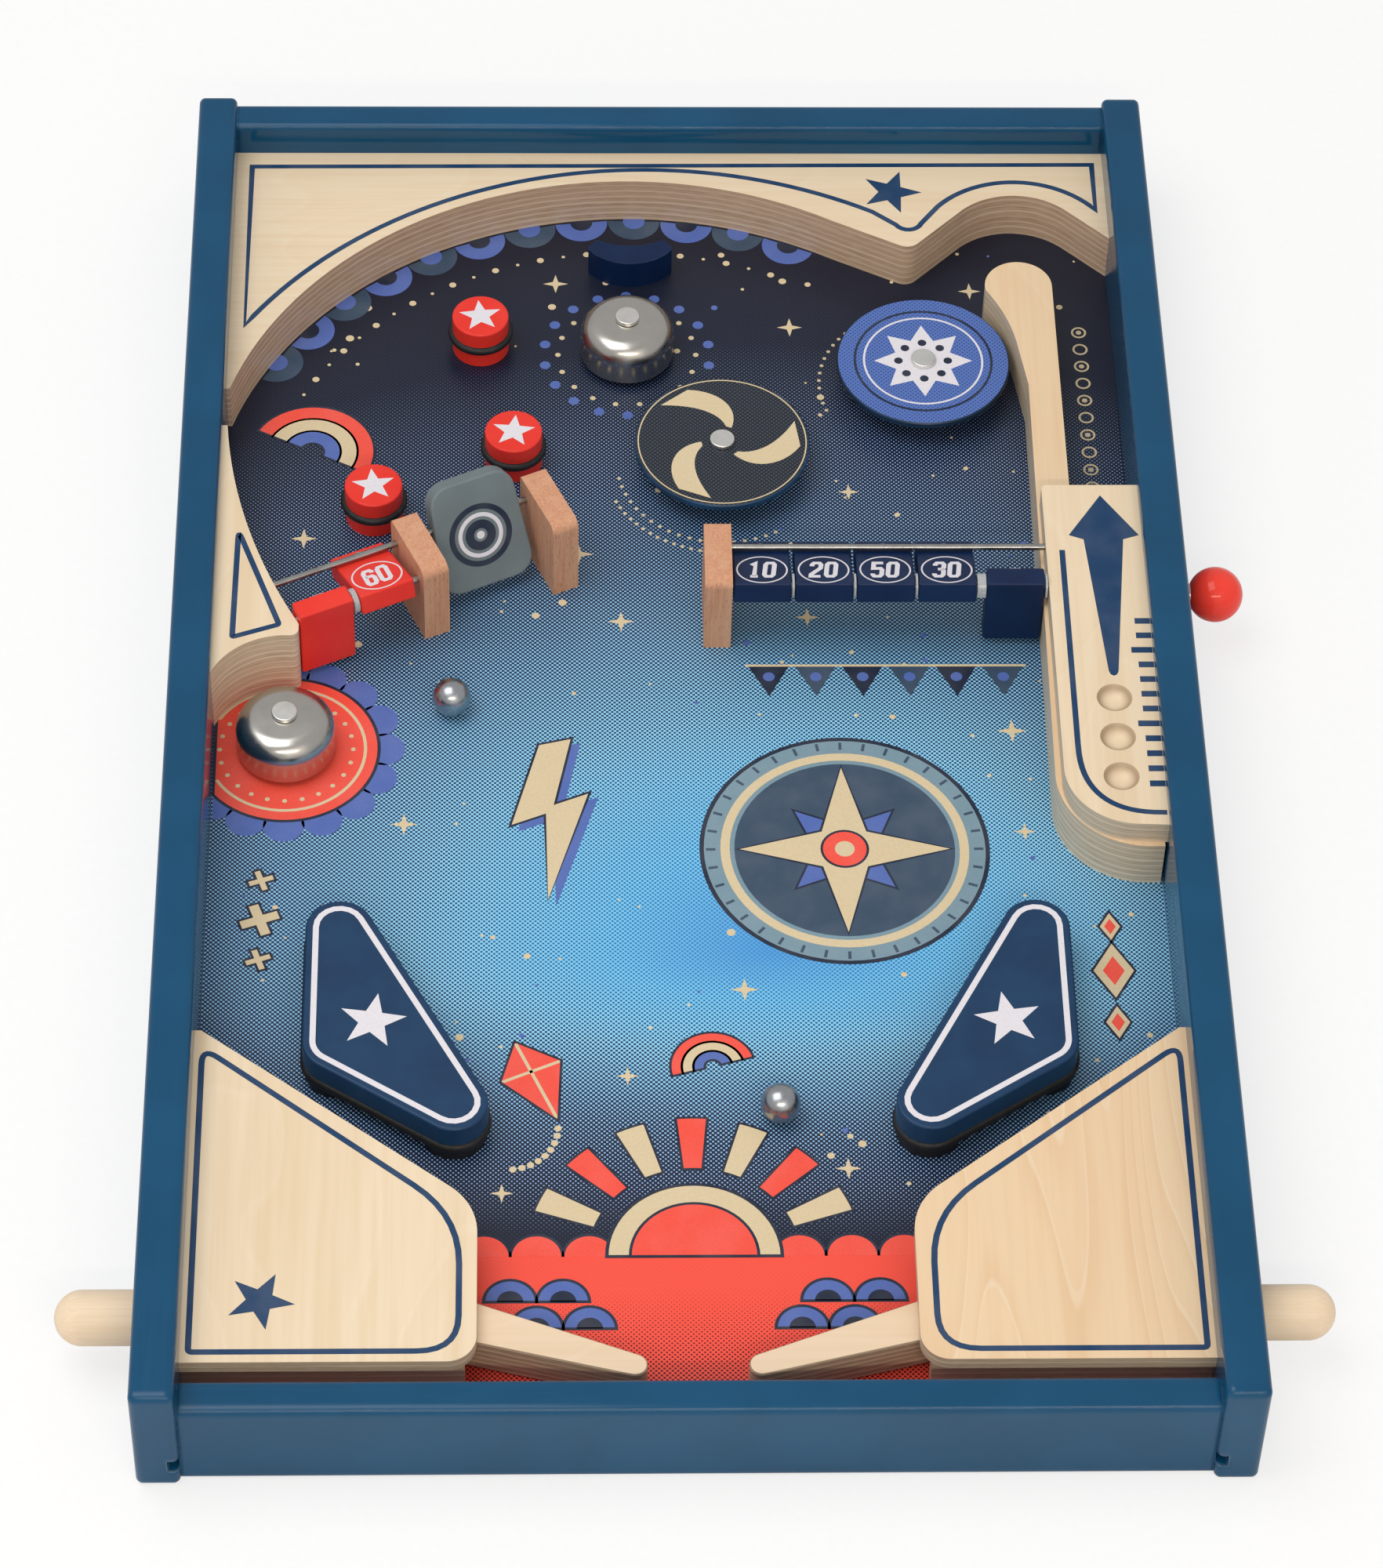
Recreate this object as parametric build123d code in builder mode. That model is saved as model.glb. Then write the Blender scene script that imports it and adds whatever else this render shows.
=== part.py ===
import os
from math import acos, cos, degrees, pi, radians, sin, tan

from build123d import *

os.makedirs("parts", exist_ok=True)

# Millimetres. X is across the game, Y runs from the player to the back, Z is up.
# Case boards
frame_width = 375.0
frame_length = 616.0
rail_thickness = 15.0
rail_height = 52.0
rail_round = 2.4
cross_setback = 2.5
cross_thickness = 13.0
cross_round = 2.4
front_height = 40.0
back_height = 50.0
board_bottom = 8.0
board_thickness = 6.5
groove_depth = 4.0
half_width = frame_width / 2
half_length = frame_length / 2
inner_half = half_width - rail_thickness
front_outer = -half_length + cross_setback
front_inner = front_outer + cross_thickness
back_outer = half_length - cross_setback
back_inner = back_outer - cross_thickness
field = board_bottom + board_thickness
overrun = 5.0

# The plan below is drawn on a field of this half width and half length, and stretches with the case
plan_field = (172.5, 292.5)
across = inner_half / plan_field[0]
along = back_inner / plan_field[1]

# Plywood guides
guide_thickness = 21.0
guide_top = field + guide_thickness
arch_tip = (-171.2, 162.7)
arch_crown = (-18.0, 276.5)
arch_end = (63.3, 254.4)
arch_cusp = (93.6, 238.6)
arch_cusp_round = 6.0
lane_arch_start = (113.6, 258.8)
lane_arch_crown = (135.5, 268.6)
lane_arch_end = (157.4, 259.2)
lane_arch_rail = 244.5
left_guide_height = 30.5
left_guide_tip_y = 134.4
left_guide_tip_width = 1.9
left_guide_mid_width = 14.7
left_guide_mid_rise = 37.7
left_guide_width = 31.5
left_guide_nose = 5.86
left_guide_corner_round = 3.0
left_guide_relief = 29.2

# Lane guide, a J that closes the launch channel
lane_x = 148.3
bulb_top = (135.2, 231.4)
bulb_y = 218.3
bulb_left = (122.2, 216.0)
waist_mid = (130.6, 197.0)
waist_end = (133.2, 184.0)
neck = (136.0, 165.0)
hook_start = (134.2, -31.0)
hook_mid = (143.8, -54.3)
hook_end = (167.1, -63.9)
hook_rail_gap = 0.8
channel_end = -52.0
channel_round = 11.0

# Launch cover over the channel
cover_thickness = 10.0
cover_top = guide_top + cover_thickness
cover_left = 136.3
cover_back = 103.0
cover_front = -62.0
cover_corner_round = 2.0
cover_arc_start = (161.3, -61.6)
cover_arc_mid = (143.6, -53.7)
cover_arc_end = -36.5
dimple_x = 156.8
dimple_rows = (-2.3, -20.9, -39.5)
dimple_sphere = 8.2
dimple_depth = 3.2

# Corner covers and the blocks that carry them, left side; the right side is mirrored
corner_height = 16.0
corner_thickness = 5.5
corner_under = field + corner_height
corner_tip = (-170.3, -145.5)
corner_edge = (-74.0, -219.2)
corner_front = -283.0
corner_back_round = 24.0
corner_front_round = 10.0
base_tip = -150.0
base_right = -78.0
base_shoulder = -222.2
base_front = -279.0
pocket_back = -226.0
pocket_left = -121.0
pocket_front = -273.5

# Push dowels and flippers, left side
dowel_y = -256.0
dowel_z = 22.5
dowel_radius = 9.5
dowel_bore = 9.58
dowel_reach = 28.5
dowel_seat = 5.2
shank_radius = 7.0
shank_guide = 7.2
stop_pin_radius = 2.0
stop_pin_length = 25.0
stop_pin_inset = 2.3
stop_channel = 13.5
stop_room = 16.5
flipper_gap = 0.5
flipper_thickness = 14.5
flipper_edge_round = 0.8
pivot = (-110.0, -238.0)
pivot_boss = 9.0
pivot_bore = 3.06
pivot_pin = 3.0
pivot_pin_depth = 3.0
flipper_tail = (-112.5, -260.0)
tail_round = 6.5
flipper_root = (-97.0, -256.2)
root_round = 9.2
flipper_tip = (-21.2, -280.2)
tip_round = 4.3
nose_gap = 0.3
return_spring_x = -84.0
return_spring_sag = 2.5
return_spring_radius = 3.5
return_spring_wire = 0.5
return_spring_turns = 6

# Plunger
knob_reach = 13.5
knob_y = 66.0
knob_z = 25.0
knob_radius = 10.4
stem_radius = 4.0
stem_slot = 4.3
stem_depth = 8.0
plunger_travel = 96.0
block_left = 149.0
block_right = 171.8
block_gap = 0.5
block_low = field + block_gap
block_high = guide_top - block_gap
block_rear = 58.0
block_front = 92.0
block_round = 3.0
plunger_spring_radius = 6.6
plunger_spring_wire = 0.6
plunger_spring_turns = 11
coil_steps = 16

# Bumpers, bells and spinners
bumper_spots = ((-75.4, 205.8), (-62.4, 144.2), (-115.4, 116.2))
bumper_radius = 11.0
bumper_height = 17.0
bumper_round = 0.8
ring_radius = 1.7
ring_height = 8.4
bell_upper_spot = (-18.2, 201.0)
bell_lower_y = -0.4
bell_lower_inset = 26.9
bell_radius = 18.2
bell_lift = 3.0
bell_height = 20.6
bell_wall = 1.2
bell_shoulder = 8.0
bell_crown_slope = 6.0
bell_post_radius = 4.5
bell_post_gap = 0.2
bell_bore = 1.7
bell_rivet_radius = 1.6
bell_rivet_depth = 9.0
rivet_head = 4.75
rivet_head_height = 1.6
rivet_head_round = 0.5
spinner_spots = ((17.5, 142.0), (96.6, 184.8))
spinner_radius = 33.6
spinner_height = 13.5
spinner_rim = 2.6
spinner_edge = 0.5
spinner_cone = 14.0
spinner_hub = 10.0
spinner_hub_height = 4.5
spinner_bore = 3.06
spinner_pin = 3.0
spinner_head_gap = 0.3
washer_radius = 7.0
washer_thickness = 0.6
washer_gap = 0.3

# Crescent rebound block
rebound_spot = (-16.5, 245.2)
rebound_half = 16.9
rebound_corner = 1.4
rebound_front = -7.0
rebound_lobe = (13.3, 6.6)
rebound_hollow = 3.1
rebound_screw = 8.0
rebound_height = 13.0
rebound_round = 1.6

# Slingshots, left side
sling_spots = ((-123.5, -97.3), (-123.5, -147.5), (-82.5, -174.0))
sling_round = 12.0
sling_plate_thickness = 9.0
sling_foot = 4.2
sling_foot_radius = 11.6
sling_core_radius = 8.6
sling_band = 4.4
sling_band_round = 2.0
sling_height = 18.0
sling_edge = 1.0
sling_under = field + sling_height - sling_plate_thickness

# Score and swing units: the posts, axles, rods and tiles share one section
post_thickness = 10.2
post_depth = 30.0
post_height = 36.5
post_front_round = 4.0
post_round = 1.2
axle_back = 5.5
axle_drop = 8.0
axle_radius = 1.5
rod_margin = 5.2
rod_radius = 1.25
rod_depth = 7.0
raised_tiles = 4
tile_space = 1.4
tile_thickness = 8.4
tile_length = 31.0
tile_overhang = 5.4
tile_round = 0.9
tile_bore = 1.56
tile_rest_gap = 0.32
tile_gap = 0.4
score_end_gap = 1.6
hanging_gap = 2.4
side_tile_gap = 3.3
side_spacer_room = 2.6
spacer_radius = 4.6
spacer_thin = 0.8
spacer_wide = 3.2
spacer_gap = 0.3
score_post_left = 8.6
score_front = 49.0
side_turn = 24.7
side_post_inset = 77.2
side_post_rise = 19.0
side_tile_width = 21.5
side_embed = 7.7
swing_pitch = 52.9
swing_gap = 4.3
swing_taper = 5.4
swing_above = 17.0
swing_below = 27.0
swing_thickness = 7.5
swing_corner_round = 8.0
swing_edge = 0.8
swing_lean = -25.0

# Balls and the screws under the board
ball_radius = 7.15
ball_gap = 0.3
ball_spots = ((-85.1, 18.5), (30.9, -167.3))
screw_radius = 1.7
screw_depth = 8.0
screw_head = 3.4
screw_head_height = 2.2

# Heights, and places that follow the case
bell_rim = field + bell_lift
bell_top = field + bell_height
spinner_top = field + spinner_height
axle_z = field + post_height - axle_drop
rod_back = post_depth - rod_margin
tile_flip = degrees(acos((tile_thickness / 2 + rod_radius + tile_rest_gap) / (rod_back - axle_back)))
bell_lower_spot = (-inner_half + bell_lower_inset, bell_lower_y * along)
relief_rail = bell_lower_spot[1] + (left_guide_relief**2 - bell_lower_inset**2) ** 0.5
relief_end = bell_lower_spot[1] + (left_guide_relief**2 - (left_guide_width - bell_lower_inset) ** 2) ** 0.5
left_guide_corner = (-inner_half + left_guide_width, relief_end + left_guide_nose)
side_corner = (-inner_half + side_post_inset, left_guide_corner[1] + side_post_rise)
side_reach = (side_post_inset - left_guide_width) / cos(radians(side_turn)) + side_embed
dowel_tip = -half_width - dowel_reach
dowel_step = -half_width + dowel_seat
stop_pin_x = -inner_half + stop_pin_inset
knob_x = half_width + knob_reach
swing_span = swing_pitch * across
swing_width = swing_span - post_thickness - swing_gap


def plan(spot):
    return (spot[0] * across, spot[1] * along)


def save(part, name):
    part.label = name
    export_step(part, f"parts/{name}.step")


def block(low, high, mode=Mode.ADD):
    centre = tuple((a + b) / 2 for a, b in zip(low, high))
    with Locations(centre):
        Box(*(b - a for a, b in zip(low, high)), mode=mode)


def rod(start, heading, radius, length, mode=Mode.ADD):
    with Locations(Plane(origin=start, z_dir=heading).location):
        Cylinder(radius, length, align=(Align.CENTER, Align.CENTER, Align.MIN), mode=mode)


def hull(discs, height):
    with BuildSketch(Plane.XY.offset(height)) as shape:
        for x, y, radius in discs:
            with Locations((x, y)):
                Circle(radius)
        make_hull(shape.edges())
    return shape.sketch


def mirrored(part):
    with BuildPart() as twin:
        mirror(part, about=Plane.YZ)
    return twin.part


def bore_up(spots, depth):
    for x, y in spots:
        rod((x, y, field), (0, 0, 1), screw_radius, depth, Mode.SUBTRACT)


# Spots of the plan on this case
bumpers = tuple(plan(spot) for spot in bumper_spots)
bells = (plan(bell_upper_spot), bell_lower_spot)
spinners = tuple(plan(spot) for spot in spinner_spots)
slings = tuple(plan(spot) for spot in sling_spots)
rebound = plan(rebound_spot)
pin = plan(pivot)
tail = plan(flipper_tail)
root = plan(flipper_root)
tip = plan(flipper_tip)
push_y = dowel_y * along
pull_y = knob_y * along
travel = plunger_travel * along
dowel_end = pin[0] - pivot_boss - nose_gap
cover_edge = cover_left * across
score_length = cover_edge - score_post_left * across - post_thickness
tile_pitch = (score_length - tile_gap - hanging_gap - score_end_gap + tile_space) / (raised_tiles + 1)
tile_width = tile_pitch - tile_space

# Frames of the two rod units: X along the axle, Y to the back, Z up, origin at the post's foot
score_unit = Location((score_post_left * across + post_thickness, score_front * along, field))
side_unit = Location((side_corner[0], side_corner[1], field), (0, 0, side_turn))


def unit_point(unit, x, y, z=0):
    spot = (unit * Location((x, y, z))).position
    return (spot.X, spot.Y, spot.Z)


along_score = (1, 0, 0)
along_side = (cos(radians(side_turn)), sin(radians(side_turn)), 0)
post_screws = (
    unit_point(score_unit, -post_thickness / 2, post_depth / 2)[:2],
    unit_point(side_unit, post_thickness / 2, post_depth / 2)[:2],
    unit_point(side_unit, swing_span + post_thickness / 2, post_depth / 2)[:2],
)
sling_screws = tuple((side * x, y) for side in (1, -1) for x, y in slings)
rebound_screws = tuple((rebound[0] + side * rebound_screw, rebound[1]) for side in (-1, 1))
screw_spots = bumpers + bells + post_screws + sling_screws + rebound_screws

# Case
with BuildPart() as side_rail_left:
    block((-half_width, -half_length, 0), (-inner_half, half_length, rail_height))
    fillet(side_rail_left.edges(), rail_round)
    block(
        (-inner_half - groove_depth, -half_length - overrun, board_bottom),
        (-inner_half + overrun, half_length + overrun, field),
        Mode.SUBTRACT,
    )
    rod((-half_width - overrun, push_y, dowel_z), along_score, dowel_bore,
        rail_thickness + overrun + overrun, Mode.SUBTRACT)

with BuildPart() as side_rail_right:
    mirror(side_rail_left.part, about=Plane.YZ)
    with BuildSketch(Plane.YZ.offset(inner_half - overrun)):
        with Locations((pull_y - travel / 2, knob_z)):
            SlotCenterToCenter(travel, stem_slot + stem_slot)
    extrude(amount=rail_thickness + overrun + overrun, mode=Mode.SUBTRACT)

with BuildPart() as front_rail:
    block((-inner_half, front_outer, 0), (inner_half, front_inner, front_height))
    fillet(front_rail.edges().filter_by(Axis.X), cross_round)
    block((-inner_half, front_inner - groove_depth, board_bottom),
          (inner_half, front_inner + overrun, field), Mode.SUBTRACT)

with BuildPart() as back_rail:
    block((-inner_half, back_inner, 0), (inner_half, back_outer, back_height))
    fillet(back_rail.edges().filter_by(Axis.X), cross_round)
    block((-inner_half, back_inner - overrun, board_bottom),
          (inner_half, back_inner + groove_depth, field), Mode.SUBTRACT)

with BuildPart() as playfield_board:
    block((-inner_half - groove_depth, front_inner - groove_depth, board_bottom),
          (inner_half + groove_depth, back_inner + groove_depth, field))
    for spot in screw_spots:
        rod((*spot, 0), (0, 0, 1), screw_radius, field + overrun, Mode.SUBTRACT)
    for spot in spinners:
        rod((*spot, 0), (0, 0, 1), spinner_pin, field + overrun, Mode.SUBTRACT)
    for side in (1, -1):
        rod((side * pin[0], pin[1], 0), (0, 0, 1), pivot_pin, field + overrun, Mode.SUBTRACT)
        rod((side * inner_half, push_y, dowel_z), (side, 0, 0), dowel_bore, groove_depth + overrun,
            Mode.SUBTRACT)

# Plywood guides
arch_left = plan(arch_tip)
arch_right = plan(arch_end)
cusp = plan(arch_cusp)
lane_arch_left = plan(lane_arch_start)
lane_arch_right = plan(lane_arch_end)
with BuildPart() as arch_plate:
    with BuildSketch(Plane.XY.offset(field)) as arch_face:
        with BuildLine():
            Line((-inner_half, arch_left[1]), arch_left)
            ThreePointArc(arch_left, plan(arch_crown), arch_right)
            Polyline(arch_right, cusp, lane_arch_left)
            ThreePointArc(lane_arch_left, plan(lane_arch_crown), lane_arch_right)
            Polyline(lane_arch_right, (inner_half, lane_arch_rail * along), (inner_half, back_inner),
                     (-inner_half, back_inner), (-inner_half, arch_left[1]))
        make_face()
        fillet(arch_face.vertices().sort_by_distance((*cusp, field))[0], arch_cusp_round)
    extrude(amount=guide_thickness)

relief_bend = (bell_lower_spot[0] - left_guide_relief * sin(pi / 6),
               bell_lower_spot[1] + left_guide_relief * cos(pi / 6))
left_guide_tip = (-inner_half + left_guide_tip_width, left_guide_tip_y * along)
left_guide_mid = (-inner_half + left_guide_mid_width, left_guide_corner[1] + left_guide_mid_rise)
with BuildPart() as left_guide:
    with BuildSketch(Plane.XY.offset(field)) as left_face:
        with BuildLine():
            Polyline((-inner_half, relief_rail), (-inner_half, left_guide_tip[1]), left_guide_tip)
            ThreePointArc(left_guide_tip, left_guide_mid, left_guide_corner)
            Line(left_guide_corner, (left_guide_corner[0], relief_end))
            ThreePointArc((left_guide_corner[0], relief_end), relief_bend, (-inner_half, relief_rail))
        make_face()
        fillet(left_face.vertices().sort_by_distance((left_guide_corner[0], relief_end, field))[0],
               left_guide_corner_round)
    extrude(amount=left_guide_height)
    rod(unit_point(side_unit, -side_reach, axle_back, axle_z - field), along_side, axle_radius,
        side_reach, Mode.SUBTRACT)
    rod(unit_point(side_unit, -side_reach, rod_back, axle_z - field), along_side, rod_radius,
        side_reach, Mode.SUBTRACT)

bulb_right = plan((lane_x, bulb_y))
bulb_side = plan(bulb_left)
waist = plan(waist_end)
hook_left = plan(hook_start)
hook_front = plan(hook_end)
hook_right = inner_half - hook_rail_gap
channel_corner = plan((lane_x, channel_end))
with BuildPart() as lane_guide:
    with BuildSketch(Plane.XY.offset(field)) as lane_face:
        with BuildLine():
            ThreePointArc(bulb_right, plan(bulb_top), bulb_side)
            ThreePointArc(bulb_side, plan(waist_mid), waist)
            Polyline(waist, plan(neck), hook_left)
            ThreePointArc(hook_left, plan(hook_mid), hook_front)
            Polyline(hook_front, (hook_right, hook_front[1]), (hook_right, channel_corner[1]),
                     channel_corner, bulb_right)
        make_face()
        fillet(lane_face.vertices().sort_by_distance((*channel_corner, field))[0], channel_round)
    extrude(amount=guide_thickness)

cover_corner = plan((cover_left, cover_back))
cover_side = plan((cover_left, cover_arc_end))
cover_nose = plan(cover_arc_start)
with BuildPart() as launch_cover:
    with BuildSketch(Plane.XY.offset(guide_top)) as cover_face:
        with BuildLine():
            Polyline(cover_side, cover_corner, (inner_half, cover_corner[1]),
                     (inner_half, cover_front * along), cover_nose)
            ThreePointArc(cover_nose, plan(cover_arc_mid), cover_side)
        make_face()
        fillet(cover_face.vertices().sort_by_distance((*cover_corner, guide_top))[0], cover_corner_round)
    extrude(amount=cover_thickness)
    for y in dimple_rows:
        with Locations((*plan((dimple_x, y)), cover_top + dimple_sphere - dimple_depth)):
            Sphere(dimple_sphere, mode=Mode.SUBTRACT)
    for back, radius in ((axle_back, axle_radius), (rod_back, rod_radius)):
        rod(unit_point(score_unit, score_length - overrun, back, axle_z - field), along_score, radius,
            overrun + rod_depth, Mode.SUBTRACT)

# Corner covers, their blocks and the flippers
corner_back = plan(corner_tip)
corner_right = plan(corner_edge)
corner_low = plan((corner_edge[0], corner_front))
with BuildPart() as corner_cover_left:
    with BuildSketch(Plane.XY.offset(corner_under)) as corner_face:
        with BuildLine():
            Polyline((-inner_half, corner_low[1]), (-inner_half, corner_back[1]), corner_back, corner_right,
                     corner_low, (-inner_half, corner_low[1]))
        make_face()
        fillet(corner_face.vertices().sort_by_distance((*corner_right, corner_under))[0],
               corner_back_round)
        fillet(corner_face.vertices().sort_by_distance((*corner_low, corner_under))[0],
               corner_front_round)
    extrude(amount=corner_thickness)
    rod((*pin, corner_under - overrun), (0, 0, 1), pivot_pin, overrun + pivot_pin_depth, Mode.SUBTRACT)

pocket_rear = plan((base_right, pocket_back))
pocket_fore = plan((base_right, pocket_front))
pocket_side = pocket_left * across
slot_side = -inner_half + stop_room
with BuildPart() as corner_base_left:
    with BuildSketch(Plane.XY.offset(field)):
        with BuildLine():
            Polyline((-inner_half, base_tip * along), plan((base_right, base_shoulder)), pocket_rear,
                     (pocket_side, pocket_rear[1]), (pocket_side, push_y + shank_guide),
                     (slot_side, push_y + shank_guide), (slot_side, push_y + stop_channel),
                     (-inner_half, push_y + stop_channel), (-inner_half, base_tip * along))
        make_face()
        with BuildLine():
            Polyline((-inner_half, push_y - stop_channel), (slot_side, push_y - stop_channel),
                     (slot_side, push_y - shank_guide), (pocket_side, push_y - shank_guide),
                     (pocket_side, pocket_fore[1]), pocket_fore, plan((base_right, base_front)),
                     (-inner_half, base_front * along), (-inner_half, push_y - stop_channel))
        make_face()
    extrude(amount=corner_height)

with BuildPart() as flipper_left:
    extrude(hull(((*root, root_round), (*tip, tip_round)), field + flipper_gap), amount=flipper_thickness)
    extrude(hull(((*pin, pivot_boss), (*tail, tail_round), (*root, root_round)), field + flipper_gap),
            amount=flipper_thickness)
    fillet(flipper_left.faces().sort_by(Axis.Z)[-1].edges(), flipper_edge_round)
    rod((*pin, field), (0, 0, 1), pivot_bore, corner_height, Mode.SUBTRACT)

with BuildPart() as flipper_pins:
    for side in (1, -1):
        rod((side * pin[0], pin[1], board_bottom), (0, 0, 1), pivot_pin,
            corner_under + pivot_pin_depth - board_bottom)

with BuildPart() as push_dowel_left:
    with BuildSketch(Plane.XZ.offset(-push_y)):
        with BuildLine():
            Line((dowel_tip, dowel_z), (dowel_end, dowel_z))
            ThreePointArc(
                (dowel_end, dowel_z),
                (dowel_end - shank_radius * (1 - cos(pi / 4)), dowel_z + shank_radius * sin(pi / 4)),
                (dowel_end - shank_radius, dowel_z + shank_radius),
            )
            Polyline((dowel_end - shank_radius, dowel_z + shank_radius),
                     (dowel_step, dowel_z + shank_radius), (dowel_step, dowel_z + dowel_radius),
                     (dowel_tip + dowel_radius, dowel_z + dowel_radius))
            ThreePointArc(
                (dowel_tip + dowel_radius, dowel_z + dowel_radius),
                (dowel_tip + dowel_radius * (1 - cos(pi / 4)), dowel_z + dowel_radius * sin(pi / 4)),
                (dowel_tip, dowel_z),
            )
        make_face()
    revolve(axis=Axis((0, push_y, dowel_z), along_score))
    rod((stop_pin_x, push_y - stop_pin_length, dowel_z), (0, 1, 0), stop_pin_radius,
        stop_pin_length + stop_pin_length, Mode.SUBTRACT)

with BuildPart() as stop_pin_left:
    rod((stop_pin_x, push_y - stop_pin_length / 2, dowel_z), (0, 1, 0), stop_pin_radius, stop_pin_length)


def coil(start, heading, radius, wire, length, turns):
    with BuildPart() as spring:
        with BuildLine() as path:
            Helix(pitch=length / turns, height=length, radius=radius, center=start, direction=heading)
        with BuildSketch(Plane(origin=path.line @ 0, z_dir=path.line % 0)):
            RegularPolygon(wire, side_count=4)
        sweep(is_frenet=True)
    steps = turns * coil_steps
    spots = [path.line @ (k / steps) for k in range(steps + 1)]
    apart = min((a - b).length for k, a in enumerate(spots) for b in spots[k + coil_steps // 2:])
    print(f"spring of {turns} turns: least gap to itself {apart - wire * 2:.2f} mm")
    return spring.part


return_spring_front = root[1] + root_round - return_spring_sag
return_spring_left = coil(
    (return_spring_x * across, return_spring_front + return_spring_wire, dowel_z), (0, 1, 0),
    return_spring_radius, return_spring_wire,
    pocket_rear[1] - return_spring_front - return_spring_wire * 2, return_spring_turns)

# Plunger
block_low_corner = plan((block_left, block_rear))
block_high_corner = plan((block_right, block_front))
stem_start = (block_high_corner[0] - stem_depth, pull_y, knob_z)
with BuildPart() as plunger_block:
    block((*block_low_corner, block_low), (*block_high_corner, block_high))
    fillet(plunger_block.edges().filter_by(Axis.Z), block_round)
    rod(stem_start, along_score, stem_radius, stem_depth + overrun, Mode.SUBTRACT)

with BuildPart() as plunger_stem:
    rod(stem_start, along_score, stem_radius, knob_x - stem_start[0])

with BuildPart() as plunger_knob:
    with Locations((knob_x, pull_y, knob_z)):
        Sphere(knob_radius)
    rod((inner_half, pull_y, knob_z), along_score, stem_radius, knob_x - inner_half, Mode.SUBTRACT)

plunger_spring = coil(
    ((block_low_corner[0] + block_high_corner[0]) / 2, channel_corner[1] + plunger_spring_wire, knob_z),
    (0, 1, 0), plunger_spring_radius, plunger_spring_wire,
    block_low_corner[1] - channel_corner[1] - plunger_spring_wire * 2, plunger_spring_turns)

# Bumpers, bells and spinners
with BuildPart() as bumper_rings:
    for spot in bumpers:
        with Locations((*spot, field + ring_height)):
            Torus(bumper_radius, ring_radius)

with BuildPart() as bumper_posts:
    for spot in bumpers:
        rod((*spot, field), (0, 0, 1), bumper_radius, bumper_height)
    fillet(bumper_posts.edges().filter_by(GeomType.CIRCLE).group_by(Axis.Z)[-1], bumper_round)
    for spot in bumpers:
        with Locations((*spot, field + ring_height)):
            Torus(bumper_radius, ring_radius, mode=Mode.SUBTRACT)
    bore_up(bumpers, screw_depth)


crown_turn = radians(90 - bell_crown_slope)
shoulder_x = bell_radius - bell_shoulder
crown_run = shoulder_x + bell_shoulder * cos(crown_turn) - bell_bore
shoulder_z = bell_top - bell_shoulder * sin(crown_turn) - crown_run * tan(radians(bell_crown_slope))


def bell_arc(radius, turn):
    return (shoulder_x + radius * cos(turn), shoulder_z + radius * sin(turn))


def bell(spot):
    inside = bell_shoulder - bell_wall
    with BuildPart() as dome:
        with BuildSketch(Plane.XZ):
            with BuildLine():
                Line((bell_radius, bell_rim), (bell_radius, shoulder_z))
                ThreePointArc((bell_radius, shoulder_z), bell_arc(bell_shoulder, crown_turn / 2),
                              bell_arc(bell_shoulder, crown_turn))
                Polyline(bell_arc(bell_shoulder, crown_turn), (bell_bore, bell_top),
                         (bell_bore, bell_top - bell_wall), bell_arc(inside, crown_turn))
                ThreePointArc(bell_arc(inside, crown_turn), bell_arc(inside, crown_turn / 2),
                              (bell_radius - bell_wall, shoulder_z))
                Polyline((bell_radius - bell_wall, shoulder_z), (bell_radius - bell_wall, bell_rim),
                         (bell_radius, bell_rim))
            make_face()
        revolve(axis=Axis.Z)
    return dome.part.moved(Location((*spot, 0)))


crown_fall = (bell_post_radius - bell_bore) * tan(radians(bell_crown_slope))
bell_seat = bell_top - bell_wall - crown_fall - bell_post_gap
with BuildPart() as bell_posts:
    for spot in bells:
        rod((*spot, field), (0, 0, 1), bell_post_radius, bell_seat - field)
        rod((*spot, bell_top - bell_rivet_depth), (0, 0, 1), bell_rivet_radius, bell_rivet_depth,
            Mode.SUBTRACT)
    bore_up(bells, screw_depth)

with BuildPart() as bell_rivets:
    for spot in bells:
        rod((*spot, bell_top - bell_rivet_depth), (0, 0, 1), bell_rivet_radius, bell_rivet_depth)
        rod((*spot, bell_top), (0, 0, 1), rivet_head, rivet_head_height)
    fillet(bell_rivets.edges().group_by(Axis.Z)[-1], rivet_head_round)


def spinner(spot):
    under = field + washer_thickness + washer_gap
    hub_top = under + spinner_hub_height
    reach = spinner_radius * across
    with BuildPart() as disc:
        with BuildSketch(Plane.XZ):
            with BuildLine():
                Polyline((spinner_bore, under), (spinner_hub, under), (spinner_hub, hub_top),
                         (spinner_cone, hub_top), (reach, spinner_top - spinner_rim),
                         (reach, spinner_top - spinner_edge), (reach - spinner_edge, spinner_top),
                         (spinner_bore, spinner_top), (spinner_bore, under))
            make_face()
        revolve(axis=Axis.Z)
    return disc.part.moved(Location((*spot, 0)))


with BuildPart() as spinner_pins:
    for spot in spinners:
        rod((*spot, board_bottom), (0, 0, 1), spinner_pin, spinner_top + spinner_head_gap - board_bottom)
        rod((*spot, spinner_top + spinner_head_gap), (0, 0, 1), rivet_head, rivet_head_height)
    fillet(spinner_pins.edges().group_by(Axis.Z)[-1], rivet_head_round)

with BuildPart() as spinner_washers:
    for spot in spinners:
        rod((*spot, field), (0, 0, 1), washer_radius, washer_thickness)
        rod((*spot, field), (0, 0, 1), spinner_pin, washer_thickness, Mode.SUBTRACT)

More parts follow.
